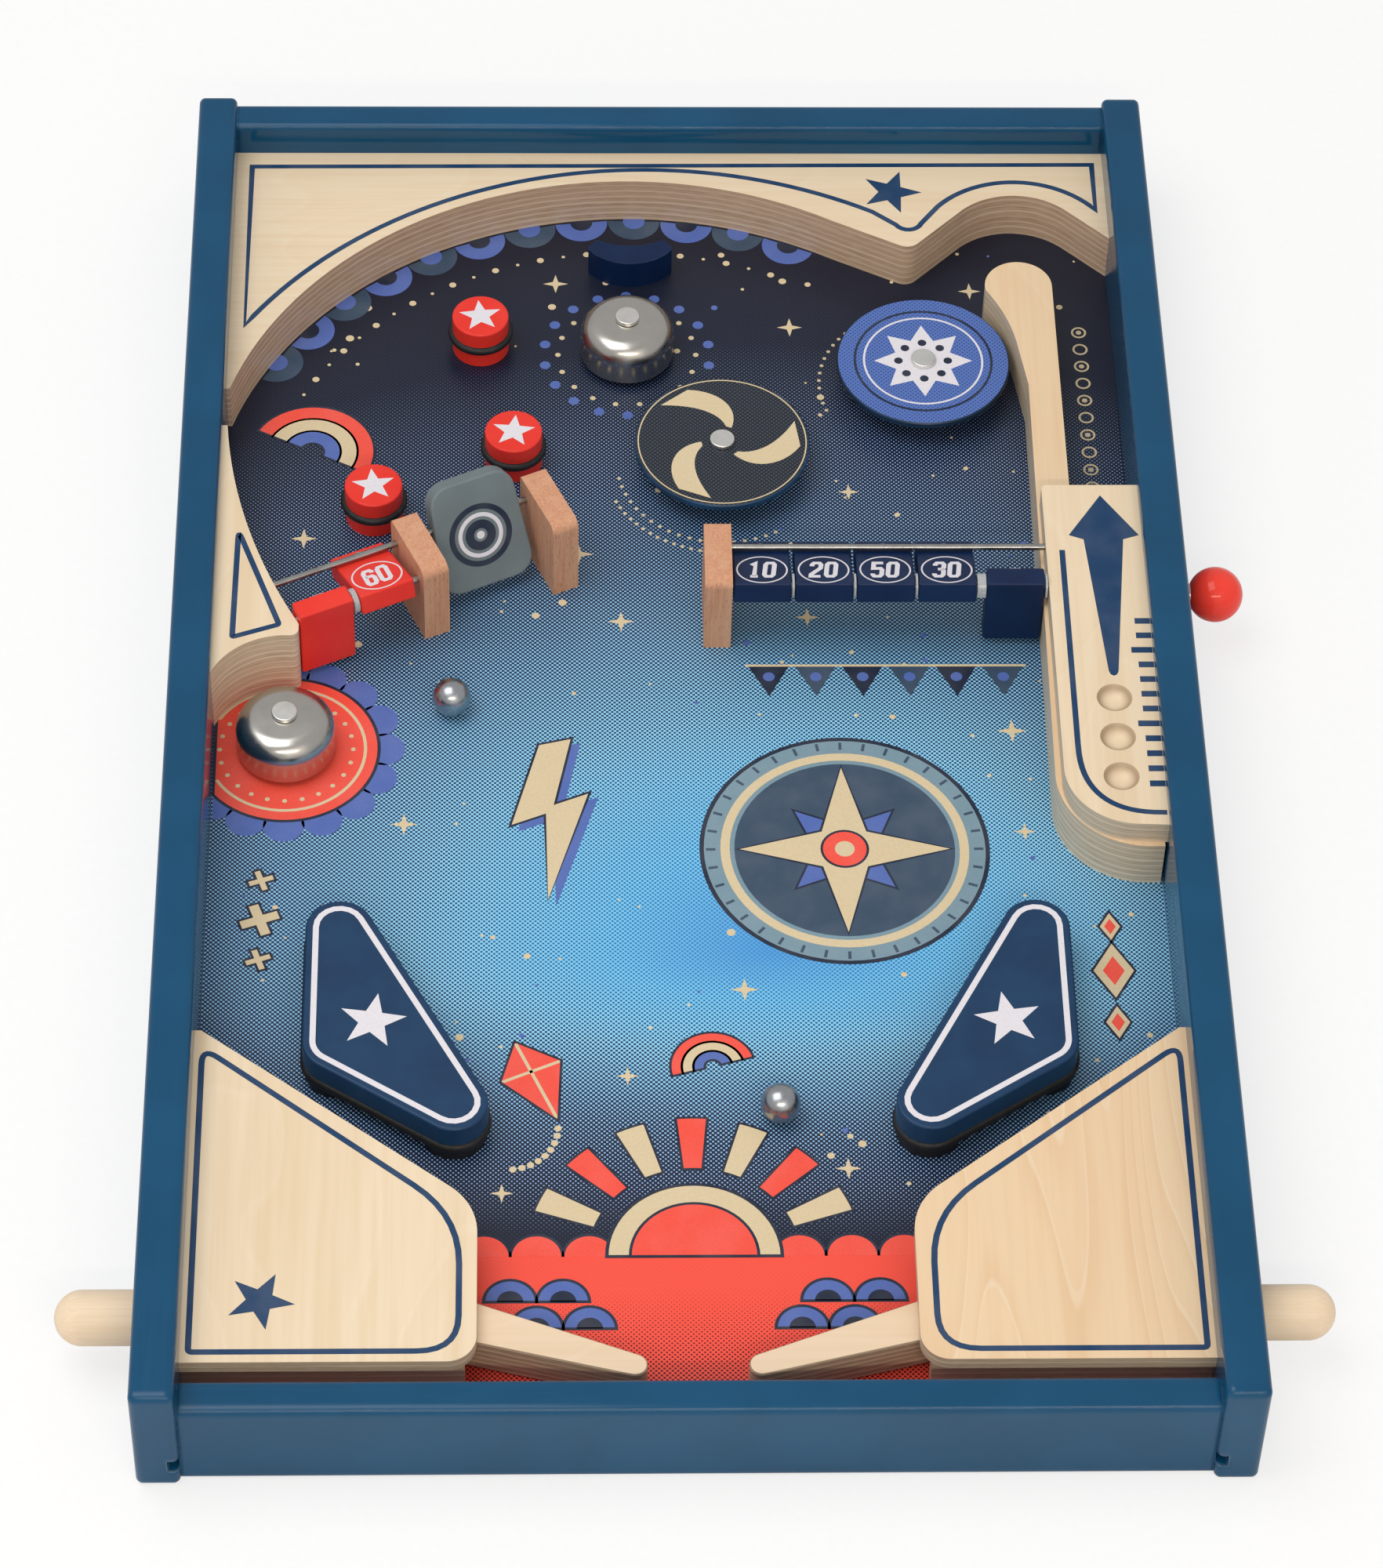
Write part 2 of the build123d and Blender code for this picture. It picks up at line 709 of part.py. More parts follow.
with BuildPart() as rebound_block:
    with BuildSketch(Plane((*rebound, field))) as rebound_face:
        with BuildLine():
            ThreePointArc((-rebound_half, rebound_corner), (0, rebound_front),
                          (rebound_half, rebound_corner))
            Line((rebound_half, rebound_corner), rebound_lobe)
            ThreePointArc(rebound_lobe, (0, rebound_hollow), (-rebound_lobe[0], rebound_lobe[1]))
            Line((-rebound_lobe[0], rebound_lobe[1]), (-rebound_half, rebound_corner))
        make_face()
        fillet(rebound_face.vertices(), rebound_round)
    extrude(amount=rebound_height)
    bore_up(rebound_screws, screw_depth)

# Slingshots
with BuildPart() as sling_plate_left:
    extrude(hull(tuple((*spot, sling_round) for spot in slings), sling_under),
            amount=sling_plate_thickness)
    fillet(sling_plate_left.faces().sort_by(Axis.Z)[-1].edges(), sling_edge)

with BuildPart() as sling_posts:
    for spot in sling_screws:
        rod((*spot, field), (0, 0, 1), sling_core_radius, sling_under - field)
        rod((*spot, field), (0, 0, 1), sling_foot_radius, sling_foot)
    bore_up(sling_screws, sling_under - field)


def sling_ring(side):
    low = field + sling_foot
    inner, outer = (tuple((side * x, y, sling_core_radius + band) for x, y in slings)
                    for band in (0, sling_band))
    with BuildPart() as ring:
        extrude(hull(outer, low), amount=sling_band)
        extrude(hull(inner, low), amount=sling_band, mode=Mode.SUBTRACT)
        fillet(ring.faces().sort_by(Axis.Z)[-1].edges() + ring.faces().sort_by(Axis.Z)[0].edges(),
               sling_band_round)
    return ring.part


with BuildPart() as sling_bands:
    add(sling_ring(1))
    add(sling_ring(-1))


# Score unit on the right and the swing unit on the left
def post(unit, x, rods):
    with BuildPart() as upright:
        with BuildSketch(Plane.YZ) as side_face:
            with BuildLine():
                Polyline((0, 0), (post_depth, 0), (post_depth, post_height), (0, post_height), (0, 0))
            make_face()
            fillet(side_face.vertices().sort_by_distance((0, post_height))[0], post_front_round)
            fillet(side_face.vertices().sort_by_distance((post_depth, post_height))[0], post_round)
        extrude(amount=post_thickness)
        for start, back, radius, length in rods:
            rod((start, back, axle_z - field), (1, 0, 0), radius, length, Mode.SUBTRACT)
        rod((post_thickness / 2, post_depth / 2, 0), (0, 0, 1), screw_radius, screw_depth, Mode.SUBTRACT)
    return upright.part.moved(unit * Location((x, 0, 0)))


def tile(unit, x, width, turn):
    with BuildPart() as flap:
        block((0, -tile_thickness / 2, tile_overhang - tile_length),
              (width, tile_thickness / 2, tile_overhang))
        fillet(flap.edges(), tile_round)
        rod((-overrun, 0, 0), (1, 0, 0), tile_bore, width + overrun + overrun, Mode.SUBTRACT)
    return flap.part.moved(unit * Location((x, axle_back, axle_z - field), (turn, 0, 0)))


rod_start = post_thickness - rod_depth
score_post = post(score_unit, -post_thickness, ((rod_start, axle_back, axle_radius, rod_depth),
                                                (rod_start, rod_back, rod_radius, rod_depth)))
swing_post_left = post(side_unit, 0, ((0, axle_back, axle_radius, rod_depth),
                                      (0, rod_back, rod_radius, post_thickness)))
swing_post_right = post(side_unit, swing_span, ((0, rod_back, rod_radius, rod_depth),))

with BuildPart() as score_axle:
    rod(unit_point(score_unit, -rod_depth, axle_back, axle_z - field), along_score, axle_radius,
        score_length + rod_depth * 2)

with BuildPart() as score_stop_rod:
    rod(unit_point(score_unit, -rod_depth, rod_back, axle_z - field), along_score, rod_radius,
        score_length + rod_depth * 2)

with BuildPart() as side_axle:
    rod(unit_point(side_unit, -side_reach, axle_back, axle_z - field), along_side, axle_radius,
        side_reach + rod_depth)

with BuildPart() as side_stop_rod:
    rod(unit_point(side_unit, -side_reach, rod_back, axle_z - field), along_side, rod_radius,
        side_reach + swing_span + rod_depth)

score_tile_starts = [tile_gap + tile_pitch * k for k in range(raised_tiles)]
score_tile_starts.append(tile_gap + tile_pitch * raised_tiles + hanging_gap)
side_tile_starts = (-side_tile_gap - side_tile_width - side_spacer_room - side_tile_width,
                    -side_tile_gap - side_tile_width)

with BuildPart() as tile_spacers:
    for number, start in enumerate(score_tile_starts, 1):
        beside = unit_point(score_unit, start + tile_width + spacer_gap, axle_back, axle_z - field)
        rod(beside, along_score, spacer_radius, spacer_wide if number == raised_tiles else spacer_thin)
    middle = unit_point(side_unit, side_tile_starts[0] + side_tile_width + spacer_gap, axle_back,
                        axle_z - field)
    rod(middle, along_side, spacer_radius, side_spacer_room - spacer_gap - spacer_gap)
    rod(unit_point(score_unit, 0, axle_back, axle_z - field), along_score, axle_radius, score_length,
        Mode.SUBTRACT)
    rod(unit_point(side_unit, -side_reach, axle_back, axle_z - field), along_side, axle_radius, side_reach,
        Mode.SUBTRACT)

with BuildPart() as swing_flat:
    with BuildSketch(Plane.XZ.offset(-swing_thickness / 2)) as swing_face:
        with BuildLine():
            Polyline((-swing_width / 2, -swing_below), (swing_width / 2, -swing_below),
                     ((swing_width - swing_taper) / 2, swing_above),
                     (-(swing_width - swing_taper) / 2, swing_above),
                     (-swing_width / 2, -swing_below))
        make_face()
        fillet(swing_face.vertices(), swing_corner_round)
    extrude(amount=swing_thickness)
    fillet(swing_flat.edges().filter_by(Axis.Y, reverse=True), swing_edge)
    rod((-swing_width, 0, 0), (1, 0, 0), rod_radius + (tile_bore - axle_radius), swing_width * 2,
        Mode.SUBTRACT)
swing_middle = (swing_span + post_thickness) / 2
swing_plate = swing_flat.part.moved(
    side_unit * Location((swing_middle, rod_back, axle_z - field), (swing_lean, 0, 0)))

# Balls and screws
with BuildPart() as board_screws:
    for spot in screw_spots:
        rod((*spot, board_bottom - screw_head_height), (0, 0, 1), screw_radius,
            screw_head_height + board_thickness + screw_depth)
        rod((*spot, board_bottom - screw_head_height), (0, 0, 1), screw_head, screw_head_height)

for part, name in (
    (side_rail_left.part, "side_rail_left"),
    (side_rail_right.part, "side_rail_right"),
    (front_rail.part, "front_rail"),
    (back_rail.part, "back_rail"),
    (playfield_board.part, "playfield_board"),
    (arch_plate.part, "arch_plate"),
    (left_guide.part, "left_guide"),
    (lane_guide.part, "lane_guide"),
    (launch_cover.part, "launch_cover"),
    (corner_cover_left.part, "corner_cover_left"),
    (mirrored(corner_cover_left.part), "corner_cover_right"),
    (corner_base_left.part, "corner_base_left"),
    (mirrored(corner_base_left.part), "corner_base_right"),
    (flipper_left.part, "flipper_left"),
    (mirrored(flipper_left.part), "flipper_right"),
    (flipper_pins.part, "flipper_pins"),
    (push_dowel_left.part, "push_dowel_left"),
    (mirrored(push_dowel_left.part), "push_dowel_right"),
    (stop_pin_left.part, "stop_pin_left"),
    (mirrored(stop_pin_left.part), "stop_pin_right"),
    (return_spring_left, "return_spring_left"),
    (mirrored(return_spring_left), "return_spring_right"),
    (plunger_block.part, "plunger_block"),
    (plunger_stem.part, "plunger_stem"),
    (plunger_knob.part, "plunger_knob"),
    (plunger_spring, "plunger_spring"),
    (bumper_posts.part, "bumper_posts"),
    (bumper_rings.part, "bumper_rings"),
    (bell(bells[0]), "bell_upper"),
    (bell(bells[1]), "bell_lower"),
    (bell_posts.part, "bell_posts"),
    (bell_rivets.part, "bell_rivets"),
    (spinner(spinners[0]), "spinner_left"),
    (spinner(spinners[1]), "spinner_right"),
    (spinner_pins.part, "spinner_pins"),
    (spinner_washers.part, "spinner_washers"),
    (rebound_block.part, "rebound_block"),
    (sling_plate_left.part, "sling_plate_left"),
    (mirrored(sling_plate_left.part), "sling_plate_right"),
    (sling_posts.part, "sling_posts"),
    (sling_bands.part, "sling_bands"),
    (score_post, "score_post"),
    (swing_post_left, "swing_post_left"),
    (swing_post_right, "swing_post_right"),
    (score_axle.part, "score_axle"),
    (score_stop_rod.part, "score_stop_rod"),
    (side_axle.part, "side_axle"),
    (side_stop_rod.part, "side_stop_rod"),
    (tile_spacers.part, "tile_spacers"),
    (swing_plate, "swing_plate"),
    (board_screws.part, "board_screws"),
):
    save(part, name)

for number, start in enumerate(score_tile_starts, 1):
    turn = tile_flip if number <= raised_tiles else 0
    save(tile(score_unit, start, tile_width, turn), f"score_tile_{number}")
save(tile(side_unit, side_tile_starts[0], side_tile_width, 0), "side_tile_1")
save(tile(side_unit, side_tile_starts[1], side_tile_width, tile_flip), "side_tile_2")

for spot, name in zip(ball_spots, ("ball_upper", "ball_lower")):
    with BuildPart() as ball:
        with Locations((*plan(spot), field + ball_radius + ball_gap)):
            Sphere(ball_radius)
    save(ball.part, name)
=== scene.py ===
import bpy
import bmesh
import math
import random
from mathutils import Matrix, Vector


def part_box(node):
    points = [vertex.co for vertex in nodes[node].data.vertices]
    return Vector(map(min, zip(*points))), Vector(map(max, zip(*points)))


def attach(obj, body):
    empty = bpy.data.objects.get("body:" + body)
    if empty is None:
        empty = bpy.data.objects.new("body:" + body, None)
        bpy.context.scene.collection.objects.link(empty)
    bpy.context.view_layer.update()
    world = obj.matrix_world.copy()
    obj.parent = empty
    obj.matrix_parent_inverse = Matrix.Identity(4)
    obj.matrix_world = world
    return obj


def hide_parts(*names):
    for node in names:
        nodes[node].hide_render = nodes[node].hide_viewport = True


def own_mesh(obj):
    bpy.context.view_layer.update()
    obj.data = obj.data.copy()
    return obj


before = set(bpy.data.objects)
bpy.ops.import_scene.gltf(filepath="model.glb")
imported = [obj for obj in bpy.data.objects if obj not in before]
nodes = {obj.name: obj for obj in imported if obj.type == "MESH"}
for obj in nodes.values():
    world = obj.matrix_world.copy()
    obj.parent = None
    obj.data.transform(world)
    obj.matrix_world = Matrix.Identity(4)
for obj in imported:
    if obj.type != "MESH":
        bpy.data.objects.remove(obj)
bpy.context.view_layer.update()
scene = bpy.context.scene
scene.view_settings.view_transform = "Standard"
mm = 0.001
print("frame loaded:", len(nodes), "nodes")


def linearColour(code):
    channels = [int(code[k:k + 2], 16) / 255 for k in (0, 2, 4)]
    return [c / 12.92 if c <= 0.04045 else ((c + 0.055) / 1.055) ** 2.4 for c in channels] + [1.0]


def addNode(tree, kind, inputs=None, out=0, stops=(), **settings):
    # an input is another node's output, a hex colour or a plain value; one output comes back
    node = tree.nodes.new("ShaderNode" + kind)
    for name, value in settings.items():
        setattr(node, name, value)
    for k, (spot, colour) in enumerate(stops):
        stop = node.color_ramp.elements[k] if k < 2 else node.color_ramp.elements.new(spot)
        stop.position = spot
        stop.color = linearColour(colour) if isinstance(colour, str) else (colour, colour, colour, 1.0)
    for name, value in (inputs or {}).items():
        if isinstance(value, bpy.types.NodeSocket):
            tree.links.new(value, node.inputs[name])
        else:
            node.inputs[name].default_value = linearColour(value) if isinstance(value, str) else value
    return node.outputs[out] if node.outputs else None


def startMaterial(name):
    # gives also the place on the piece, in millimetres
    material = bpy.data.materials.new(name)
    material.use_nodes = True
    tree = material.node_tree
    tree.nodes.clear()
    spot = addNode(tree, "TexCoord", out="Object")
    place = addNode(tree, "VectorMath", {0: spot, "Scale": 1 / mm}, operation="SCALE")
    return material, place


def closeMaterial(material, look, shades, pattern, inputs, colour=None, span=1.0):
    # each shade lies over the colour by its own mask; the pattern, from 0 to span, sets the roughness
    # between its two ends and stands up by the look's depth in mm
    tree = material.node_tree
    colour = colour or look["colour"]
    for mask, shade in shades:
        colour = addNode(tree, "Mix", {0: mask, 6: colour, 7: shade}, out=2, data_type="RGBA")
    smooth, rough = look["roughness"]
    shine = addNode(tree, "MapRange", {"Value": pattern, "From Max": span, "To Min": smooth, "To Max": rough})
    inputs = {**inputs, "Base Color": colour, "Roughness": shine}
    if "depth" in look:
        relief = {"Strength": 1.0, "Distance": look["depth"] * mm, "Height": pattern}
        if "soften" in look:
            relief["Normal"] = addNode(tree, "Bevel", {"Radius": look["soften"] * mm}, samples=8)
        inputs["Normal"] = addNode(tree, "Bump", relief)
    addNode(tree, "OutputMaterial", {"Surface": addNode(tree, "BsdfPrincipled", inputs)})
    return material


def mottle(place, size, low=0.3, high=0.7, top=1.0, detail=3.0):
    # noise with a grain of the given size in mm, one for all axes or one each, spread from 0 to top
    tree = place.id_data
    size = size if isinstance(size, (list, tuple)) else [size] * 3
    scaled = addNode(tree, "VectorMath", {0: place, 1: size}, operation="DIVIDE")
    noise = addNode(tree, "TexNoise", {"Vector": scaled, "Scale": 1.0, "Detail": detail})
    return addNode(tree, "MapRange", {"Value": noise, "From Min": low, "From Max": high, "To Max": top},
                   interpolation_type="SMOOTHSTEP")


def grainSize(wide, long, along):
    return [long if axis == along else wide for axis in range(3)]


def edgePatches(place, width, patch, low, top):
    # up to top along the edges of a piece, in patches of the given size, and 0 on its flats: rubbed paint on
    # enamel, rubbed paint and a painted highlight on the rails
    tree = place.id_data
    normal = addNode(tree, "NewGeometry", out="Normal")
    soft = addNode(tree, "Bevel", {"Radius": width * mm}, samples=6)
    turn = addNode(tree, "VectorMath", {0: normal, 1: soft}, out="Value", operation="DOT_PRODUCT")
    edge = addNode(tree, "MapRange", {"Value": turn, "From Min": 0.99, "From Max": 0.8},
                   interpolation_type="SMOOTHSTEP")
    patchy = mottle(place, patch, low=low, high=0.8, top=top)
    return addNode(tree, "Math", {0: edge, 1: patchy}, operation="MULTIPLY")


def topMask(place, low, high):
    # 1 where the surface looks up, 0 on the sides and below
    tree = place.id_data
    normal = addNode(tree, "NewGeometry", out="Normal")
    up = addNode(tree, "SeparateXYZ", {"Vector": normal}, out="Z")
    return addNode(tree, "MapRange", {"Value": up, "From Min": low, "From Max": high},
                   interpolation_type="SMOOTHSTEP")


# Pine under two brushed coats of satin acrylic: an even blue with faint brush strokes along
# the rail, and rounded edges painted paler, partly as rubbed paint and partly as a painted highlight.
railPaint = dict(
    colour="09496E", pale="0D5077", edge="7C9EBB", rub=1.2, edgeShare=0.8, along=0, strokeWide=1.4,
    strokeLong=70.0, cloud=45.0, depth=0.012, soften=3.0, roughness=(0.08, 0.19), specular=0.36)
rails = {"paintedPineAcross": railPaint, "paintedPineAlong": dict(railPaint, along=1)}


def paintedPine(name, look):
    material, place = startMaterial(name)
    size = grainSize(look["strokeWide"], look["strokeLong"], look["along"])
    stroke = mottle(place, size)
    cloud = mottle(place, look["cloud"])
    # the pale edge colour is partly rubbed paint and partly a painted highlight along the rounded edges
    paleEdge = edgePatches(place, look["rub"], size, low=0.1, top=look["edgeShare"])
    shades = ((cloud, look["pale"]), (paleEdge, look["edge"]))
    return closeMaterial(material, look, shades, stroke,
                         {"IOR": 1.48, "Specular IOR Level": look["specular"]})


# Birch plywood: a pale rotary-cut face under clear lacquer with soft flames and thin pale arches
# where the knife crossed the year rings, and sawn edges that show the plies, every other one
# darker end grain, between thin glue lines.
birchPly = dict(
    face="F4DFC0", streak="EACFA8", flame="E0C298", arch="FBEDD6", figure=0.12, arches=6.0, figureWide=60.0,
    figureLong=170.0, ply="EFDDC2", endPly="D9C3A4", glue="B79E7F", plyPair=3.0, wander=(30.0, 30.0, 4.0),
    tone=(80.0, 80.0, 1.2), fibre=(6.0, 6.0, 0.4), grainWide=2.2, grainLong=60.0, flameSize=6.0, along=1,
    roughness=(0.37, 0.52), depth=0.02)
warmPly = dict(birchPly, face="F3D6B0", streak="EAC498", flame="E0B588", arch="F9E6CB")
plies = {
    "birchPly": birchPly,
    "warmBirchPly": warmPly,
    "flamedBirchPly": dict(warmPly, figure=0.38, arches=14.0, figureWide=46.0, figureLong=330.0),
    "archBirchPly": dict(birchPly, ply="E6CDB2", endPly="CCAA8E", glue="AD886C", along=0),
    "flipperBirchPly": dict(
        birchPly, face="F3D9BB", ply="DCC5A8", endPly="B39C82", glue="8A745C", plyPair=2.6, along=0),
}


def plywood(name, look):
    material, place = startMaterial(name)
    tree = place.id_data
    size = grainSize(look["grainWide"], look["grainLong"], look["along"])
    grain = mottle(place, size, low=0.35, high=0.75, top=0.5, detail=4.0)
    flameSize = [s * look["flameSize"] for s in size]
    flame = mottle(place, flameSize, low=0.48, high=0.75, top=0.4, detail=2.0)
    figureSize = grainSize(look["figureWide"], look["figureLong"], look["along"])
    rings = mottle(place, figureSize, low=0.0, high=1.0, top=look["arches"], detail=1.0)
    ring = addNode(tree, "Math", {0: rings}, operation="FRACT")
    arches = addNode(tree, "ValToRGB", {"Fac": ring}, stops=(
        (0.0, look["arch"]), (0.05, look["arch"]), (0.11, look["streak"]), (0.5, look["face"]),
        (1.0, look["face"])))
    face = look["face"]
    for mask, shade in ((grain, look["streak"]), (flame, look["flame"]), (look["figure"], arches)):
        face = addNode(tree, "Mix", {0: mask, 6: face, 7: shade}, out=2, data_type="RGBA")
    # slopes, such as the dimples, cut across the face ply and show its darker ends
    face = addNode(tree, "Mix", {0: topMask(place, low=0.7, high=0.985), 6: look["glue"], 7: face},
                   out=2, data_type="RGBA")
    height = addNode(tree, "SeparateXYZ", {"Vector": place}, out="Z")
    wander = mottle(place, look["wander"], low=0.0, high=1.0, top=0.3)
    level = addNode(tree, "Math", {0: height, 1: 1.0 / look["plyPair"], 2: wander}, operation="MULTIPLY_ADD")
    pair = addNode(tree, "Math", {0: level}, operation="FRACT")
    layers = addNode(tree, "ValToRGB", {"Fac": pair}, stops=(
        (0.0, look["glue"]), (0.07, look["ply"]), (0.44, look["ply"]), (0.5, look["glue"]),
        (0.57, look["endPly"]), (0.94, look["endPly"]), (1.0, look["glue"])))
    tone = mottle(place, look["tone"], low=0.4, high=0.65, top=0.4, detail=1.0)
    fibre = mottle(place, look["fibre"], low=0.3, high=0.75, top=0.6, detail=4.0)
    shades = ((tone, look["glue"]), (fibre, look["ply"]), (topMask(place, low=0.35, high=0.75), face))
    return closeMaterial(material, look, shades, grain, {"IOR": 1.5}, layers)


# Solid wood under thin lacquer: long fibres and soft bands. Beech is pinkish brown with short dark
# flecks; turned birch is pale and almost plain.
woods = {
    "beech": dict(
        colour="DCA584", dark="C6835E", pale="E3B795", fleck="A06040", wide=0.9, long=22.0, fleckWide=0.5,
        fleckLong=3.0, fleckShare=0.55, along=2, bandSize=5.0, roughness=(0.49, 0.65), depth=0.02),
    "birchDowel": dict(
        colour="F8E0C2", dark="EFD3AE", pale="FBE9D0", fleck="E6CDA8", wide=0.8, long=40.0, fleckWide=0.6,
        fleckLong=5.0, fleckShare=0.3, along=0, bandSize=5.0, roughness=(0.40, 0.56), depth=0.015),
}


def solidWood(name, look):
    material, place = startMaterial(name)
    size = grainSize(look["wide"], look["long"], look["along"])
    grain = mottle(place, size, low=0.35, high=0.7, top=0.5, detail=4.0)
    bandSize = [s * look["bandSize"] for s in size]
    band = mottle(place, bandSize, low=0.45, high=0.75, top=0.4, detail=2.0)
    fleckSize = grainSize(look["fleckWide"], look["fleckLong"], look["along"])
    fleck = mottle(place, fleckSize, low=0.6, high=0.74, top=look["fleckShare"], detail=1.0)
    shades = ((grain, look["dark"]), (band, look["pale"]), (fleck, look["fleck"]))
    return closeMaterial(material, look, shades, grain, {"IOR": 1.5, "Specular IOR Level": 0.25})


# Turned and routed wood under sprayed enamel: a smooth skin, slightly uneven in gloss, that is
# rubbed paler on the edges.
sprayCoat = dict(skin=4.0, cloudSize=18.0, rub=0.9, rubPatch=2.0, edgeShare=0.6, depth=0.004)
enamels = {
    "redEnamel": dict(colour="F0362A", cloud="F43F33", edge="F46A5E", roughness=(0.3, 0.4)),
    "knobEnamel": dict(colour="FF4334", cloud="FF4B3C", edge="FF5145", roughness=(0.06, 0.16), skin=5.0),
    "navyEnamel": dict(colour="031E46", cloud="072650", edge="3F5C80", roughness=(0.38, 0.48)),
    "blueEnamel": dict(colour="16385C", cloud="1B4065", edge="4A6D92", roughness=(0.32, 0.42)),
    "greyEnamel": dict(colour="717C80", cloud="788589", edge="98A5A6", roughness=(0.44, 0.54), skin=3.0),
}


def enamel(name, look):
    look = {**sprayCoat, **look}
    material, place = startMaterial(name)
    skin = mottle(place, look["skin"], low=0.2, high=0.8, detail=2.0)
    cloud = mottle(place, look["cloudSize"])
    paleEdge = edgePatches(place, look["rub"], look["rubPatch"], low=0.3, top=look["edgeShare"])
    shades = ((cloud, look["cloud"]), (paleEdge, look["edge"]))
    return closeMaterial(material, look, shades, skin, {"IOR": 1.5, "Specular IOR Level": 0.3})


# Metals: nickel plate is warm and smears its highlights a little, rivets are duller, bearing steel is a
# dark mirror, drawn rod is streaked lengthwise and spring wire is dull from its heat.
metals = {
    "nickelPlate": dict(colour="C2BEB8", dull="BBB7B1", scratch=9.0, roughness=(0.2125, 0.3)),
    "rivetSteel": dict(colour="E9E7E2", dull="D6D4CF", scratch=2.0, roughness=(0.2975, 0.42)),
    "bearingSteel": dict(colour="B0B3B7", dull="9CA0A5", scratch=1.5, roughness=(0.2295, 0.324)),
    "drawnSteel": dict(colour="ABAAA7", dull="8C8B89", scratch=(14, 0.35, 0.35), roughness=(0.204, 0.288)),
    "springSteel": dict(colour="8F9398", dull="6E7277", scratch=0.8, roughness=(0.289, 0.408)),
}
polish = dict(smear=7.0, depth=0.001)


def metal(name, look):
    look = {**polish, **look}
    material, place = startMaterial(name)
    scratch = mottle(place, look["scratch"], low=0.3, high=0.75, detail=4.0)
    smear = mottle(place, look["smear"], low=0.4, high=0.75, top=0.6)
    return closeMaterial(material, look, [(smear, look["dull"])], scratch, {"Metallic": 1.0})


# Moulded nitrile rubber: matt black with a dusty bloom.
rubbers = {"nitrileRubber": dict(
    colour="0F1013", bloom="2A2B2E", bloomSize=6.0, pore=0.8, depth=0.01, roughness=(0.47, 0.67))}


def rubber(name, look):
    material, place = startMaterial(name)
    pore = mottle(place, look["pore"], low=0.2, high=0.8, detail=2.0)
    bloom = mottle(place, look["bloomSize"], low=0.5, high=0.8, top=0.6, detail=4.0)
    return closeMaterial(material, look, [(bloom, look["bloom"])], pore, {"IOR": 1.52})


# Turned nylon: thin and see-through with a milky cast, and faint tool rings.
nylons = {"turnedNylon": dict(
    colour="E6EAEE", ring="F4F6F8", ringSize=0.5, depth=0.005, roughness=(0.14, 0.28), clear=0.5)}


def nylon(name, look):
    material, place = startMaterial(name)
    ring = mottle(place, look["ringSize"], detail=2.0)
    return closeMaterial(material, look, [(ring, look["ring"])], ring,
                         {"IOR": 1.53, "Transmission Weight": look["clear"]})


# Screen ink: a thin even satin coat that keeps a trace of the mesh it was pressed through. The real
# mesh is finer than the picture can show, so it is drawn at 0.9 mm.
inks = {
    "creamInk": "E4D0A9", "whiteInk": "EDE9F0", "nightInk": "17233C", "periInk": "5670BC", "redInk": "FF5644",
    "slateInk": "7F9DAC", "deepInk": "3A5068", "lineInk": "0A3B66",
}
inkCoat = dict(
    mesh=0.9, meshShare=0.07, meshShade="10141C", cloud=14.0, cloudShare=0.03, cloudShade="FFFFFF",
    roughness=(0.4, 0.52))
satin = {"IOR": 1.48, "Specular IOR Level": 0.4}


def ink(name, code):
    look = inkCoat
    material, place = startMaterial(name)
    mesh = mottle(place, look["mesh"], low=0.3, high=0.8, top=look["meshShare"], detail=1.0)
    cloud = mottle(place, look["cloud"], low=0.3, high=0.75, top=look["cloudShare"], detail=2.0)
    shades = ((cloud, look["cloudShade"]), (mesh, look["meshShade"]))
    return closeMaterial(material, look, shades, mesh, satin, code, look["meshShare"])


def screenDots(place, pitch, share, edge):
    # two crossed waves at 45 degrees: cut at a level they leave round dots that fill the given share
    tree = place.id_data
    turned = addNode(tree, "VectorRotate", {"Vector": place, "Angle": math.pi / 4}, rotation_type="Z_AXIS")
    across = addNode(tree, "SeparateXYZ", {"Vector": turned}).node.outputs
    waves = []
    for k in (0, 1):
        phase = addNode(tree, "Math", {0: across[k], 1: 2 * math.pi / pitch}, operation="MULTIPLY")
        waves.append(addNode(tree, "Math", {0: phase}, operation="COSINE"))
    total = addNode(tree, "Math", {0: waves[0], 1: waves[1]}, operation="ADD")
    level = addNode(tree, "Math", {0: share, 1: 4.0, 2: total}, operation="MULTIPLY_ADD")
    return addNode(tree, "MapRange", {"Value": level, "From Min": 2.0 - edge, "From Max": 2.0 + edge},
                   interpolation_type="SMOOTHSTEP")


# Printed film on plywood: a screened night sky that pales to blue in the middle and turns red at the
# front, under satin lacquer. The real screen is about 0.85 mm; 1.3 mm is the finest that shows.
skyFilm = dict(
    pitch=1.3, edge=0.3, centre=(30.0, -95.0), backReach=360.0, frontReach=150.0, sideReach=430.0,
    dark=((0.0, "4292DA"), (0.14, "2F7EBE"), (0.30, "0A3C68"), (0.52, "061E3D"), (0.78, "10182E"),
        (1.0, "1A1E30")),
    light=((0.0, "56A4E4"), (0.14, "80D2FA"), (0.30, "9ADCFC"), (0.52, "96C2EA"), (0.70, "92AEDA"),
        (0.84, "2A3450"), (1.0, "1A1E30")),
    share=((0.0, 0.55), (0.25, 0.55), (0.42, 0.46), (0.60, 0.33), (0.72, 0.26), (1.0, 0.12)), red="FF5644",
    redDot="6A0A0E", redStart=-226.0, redEdge=0.4, redDots=(-240.0, -286.0), redShare=0.58,
    bare=("B08A5E", "C7A477"), vein=(2.0, 30.0, 2.0), haze=25.0, roughness=(0.32, 0.44))


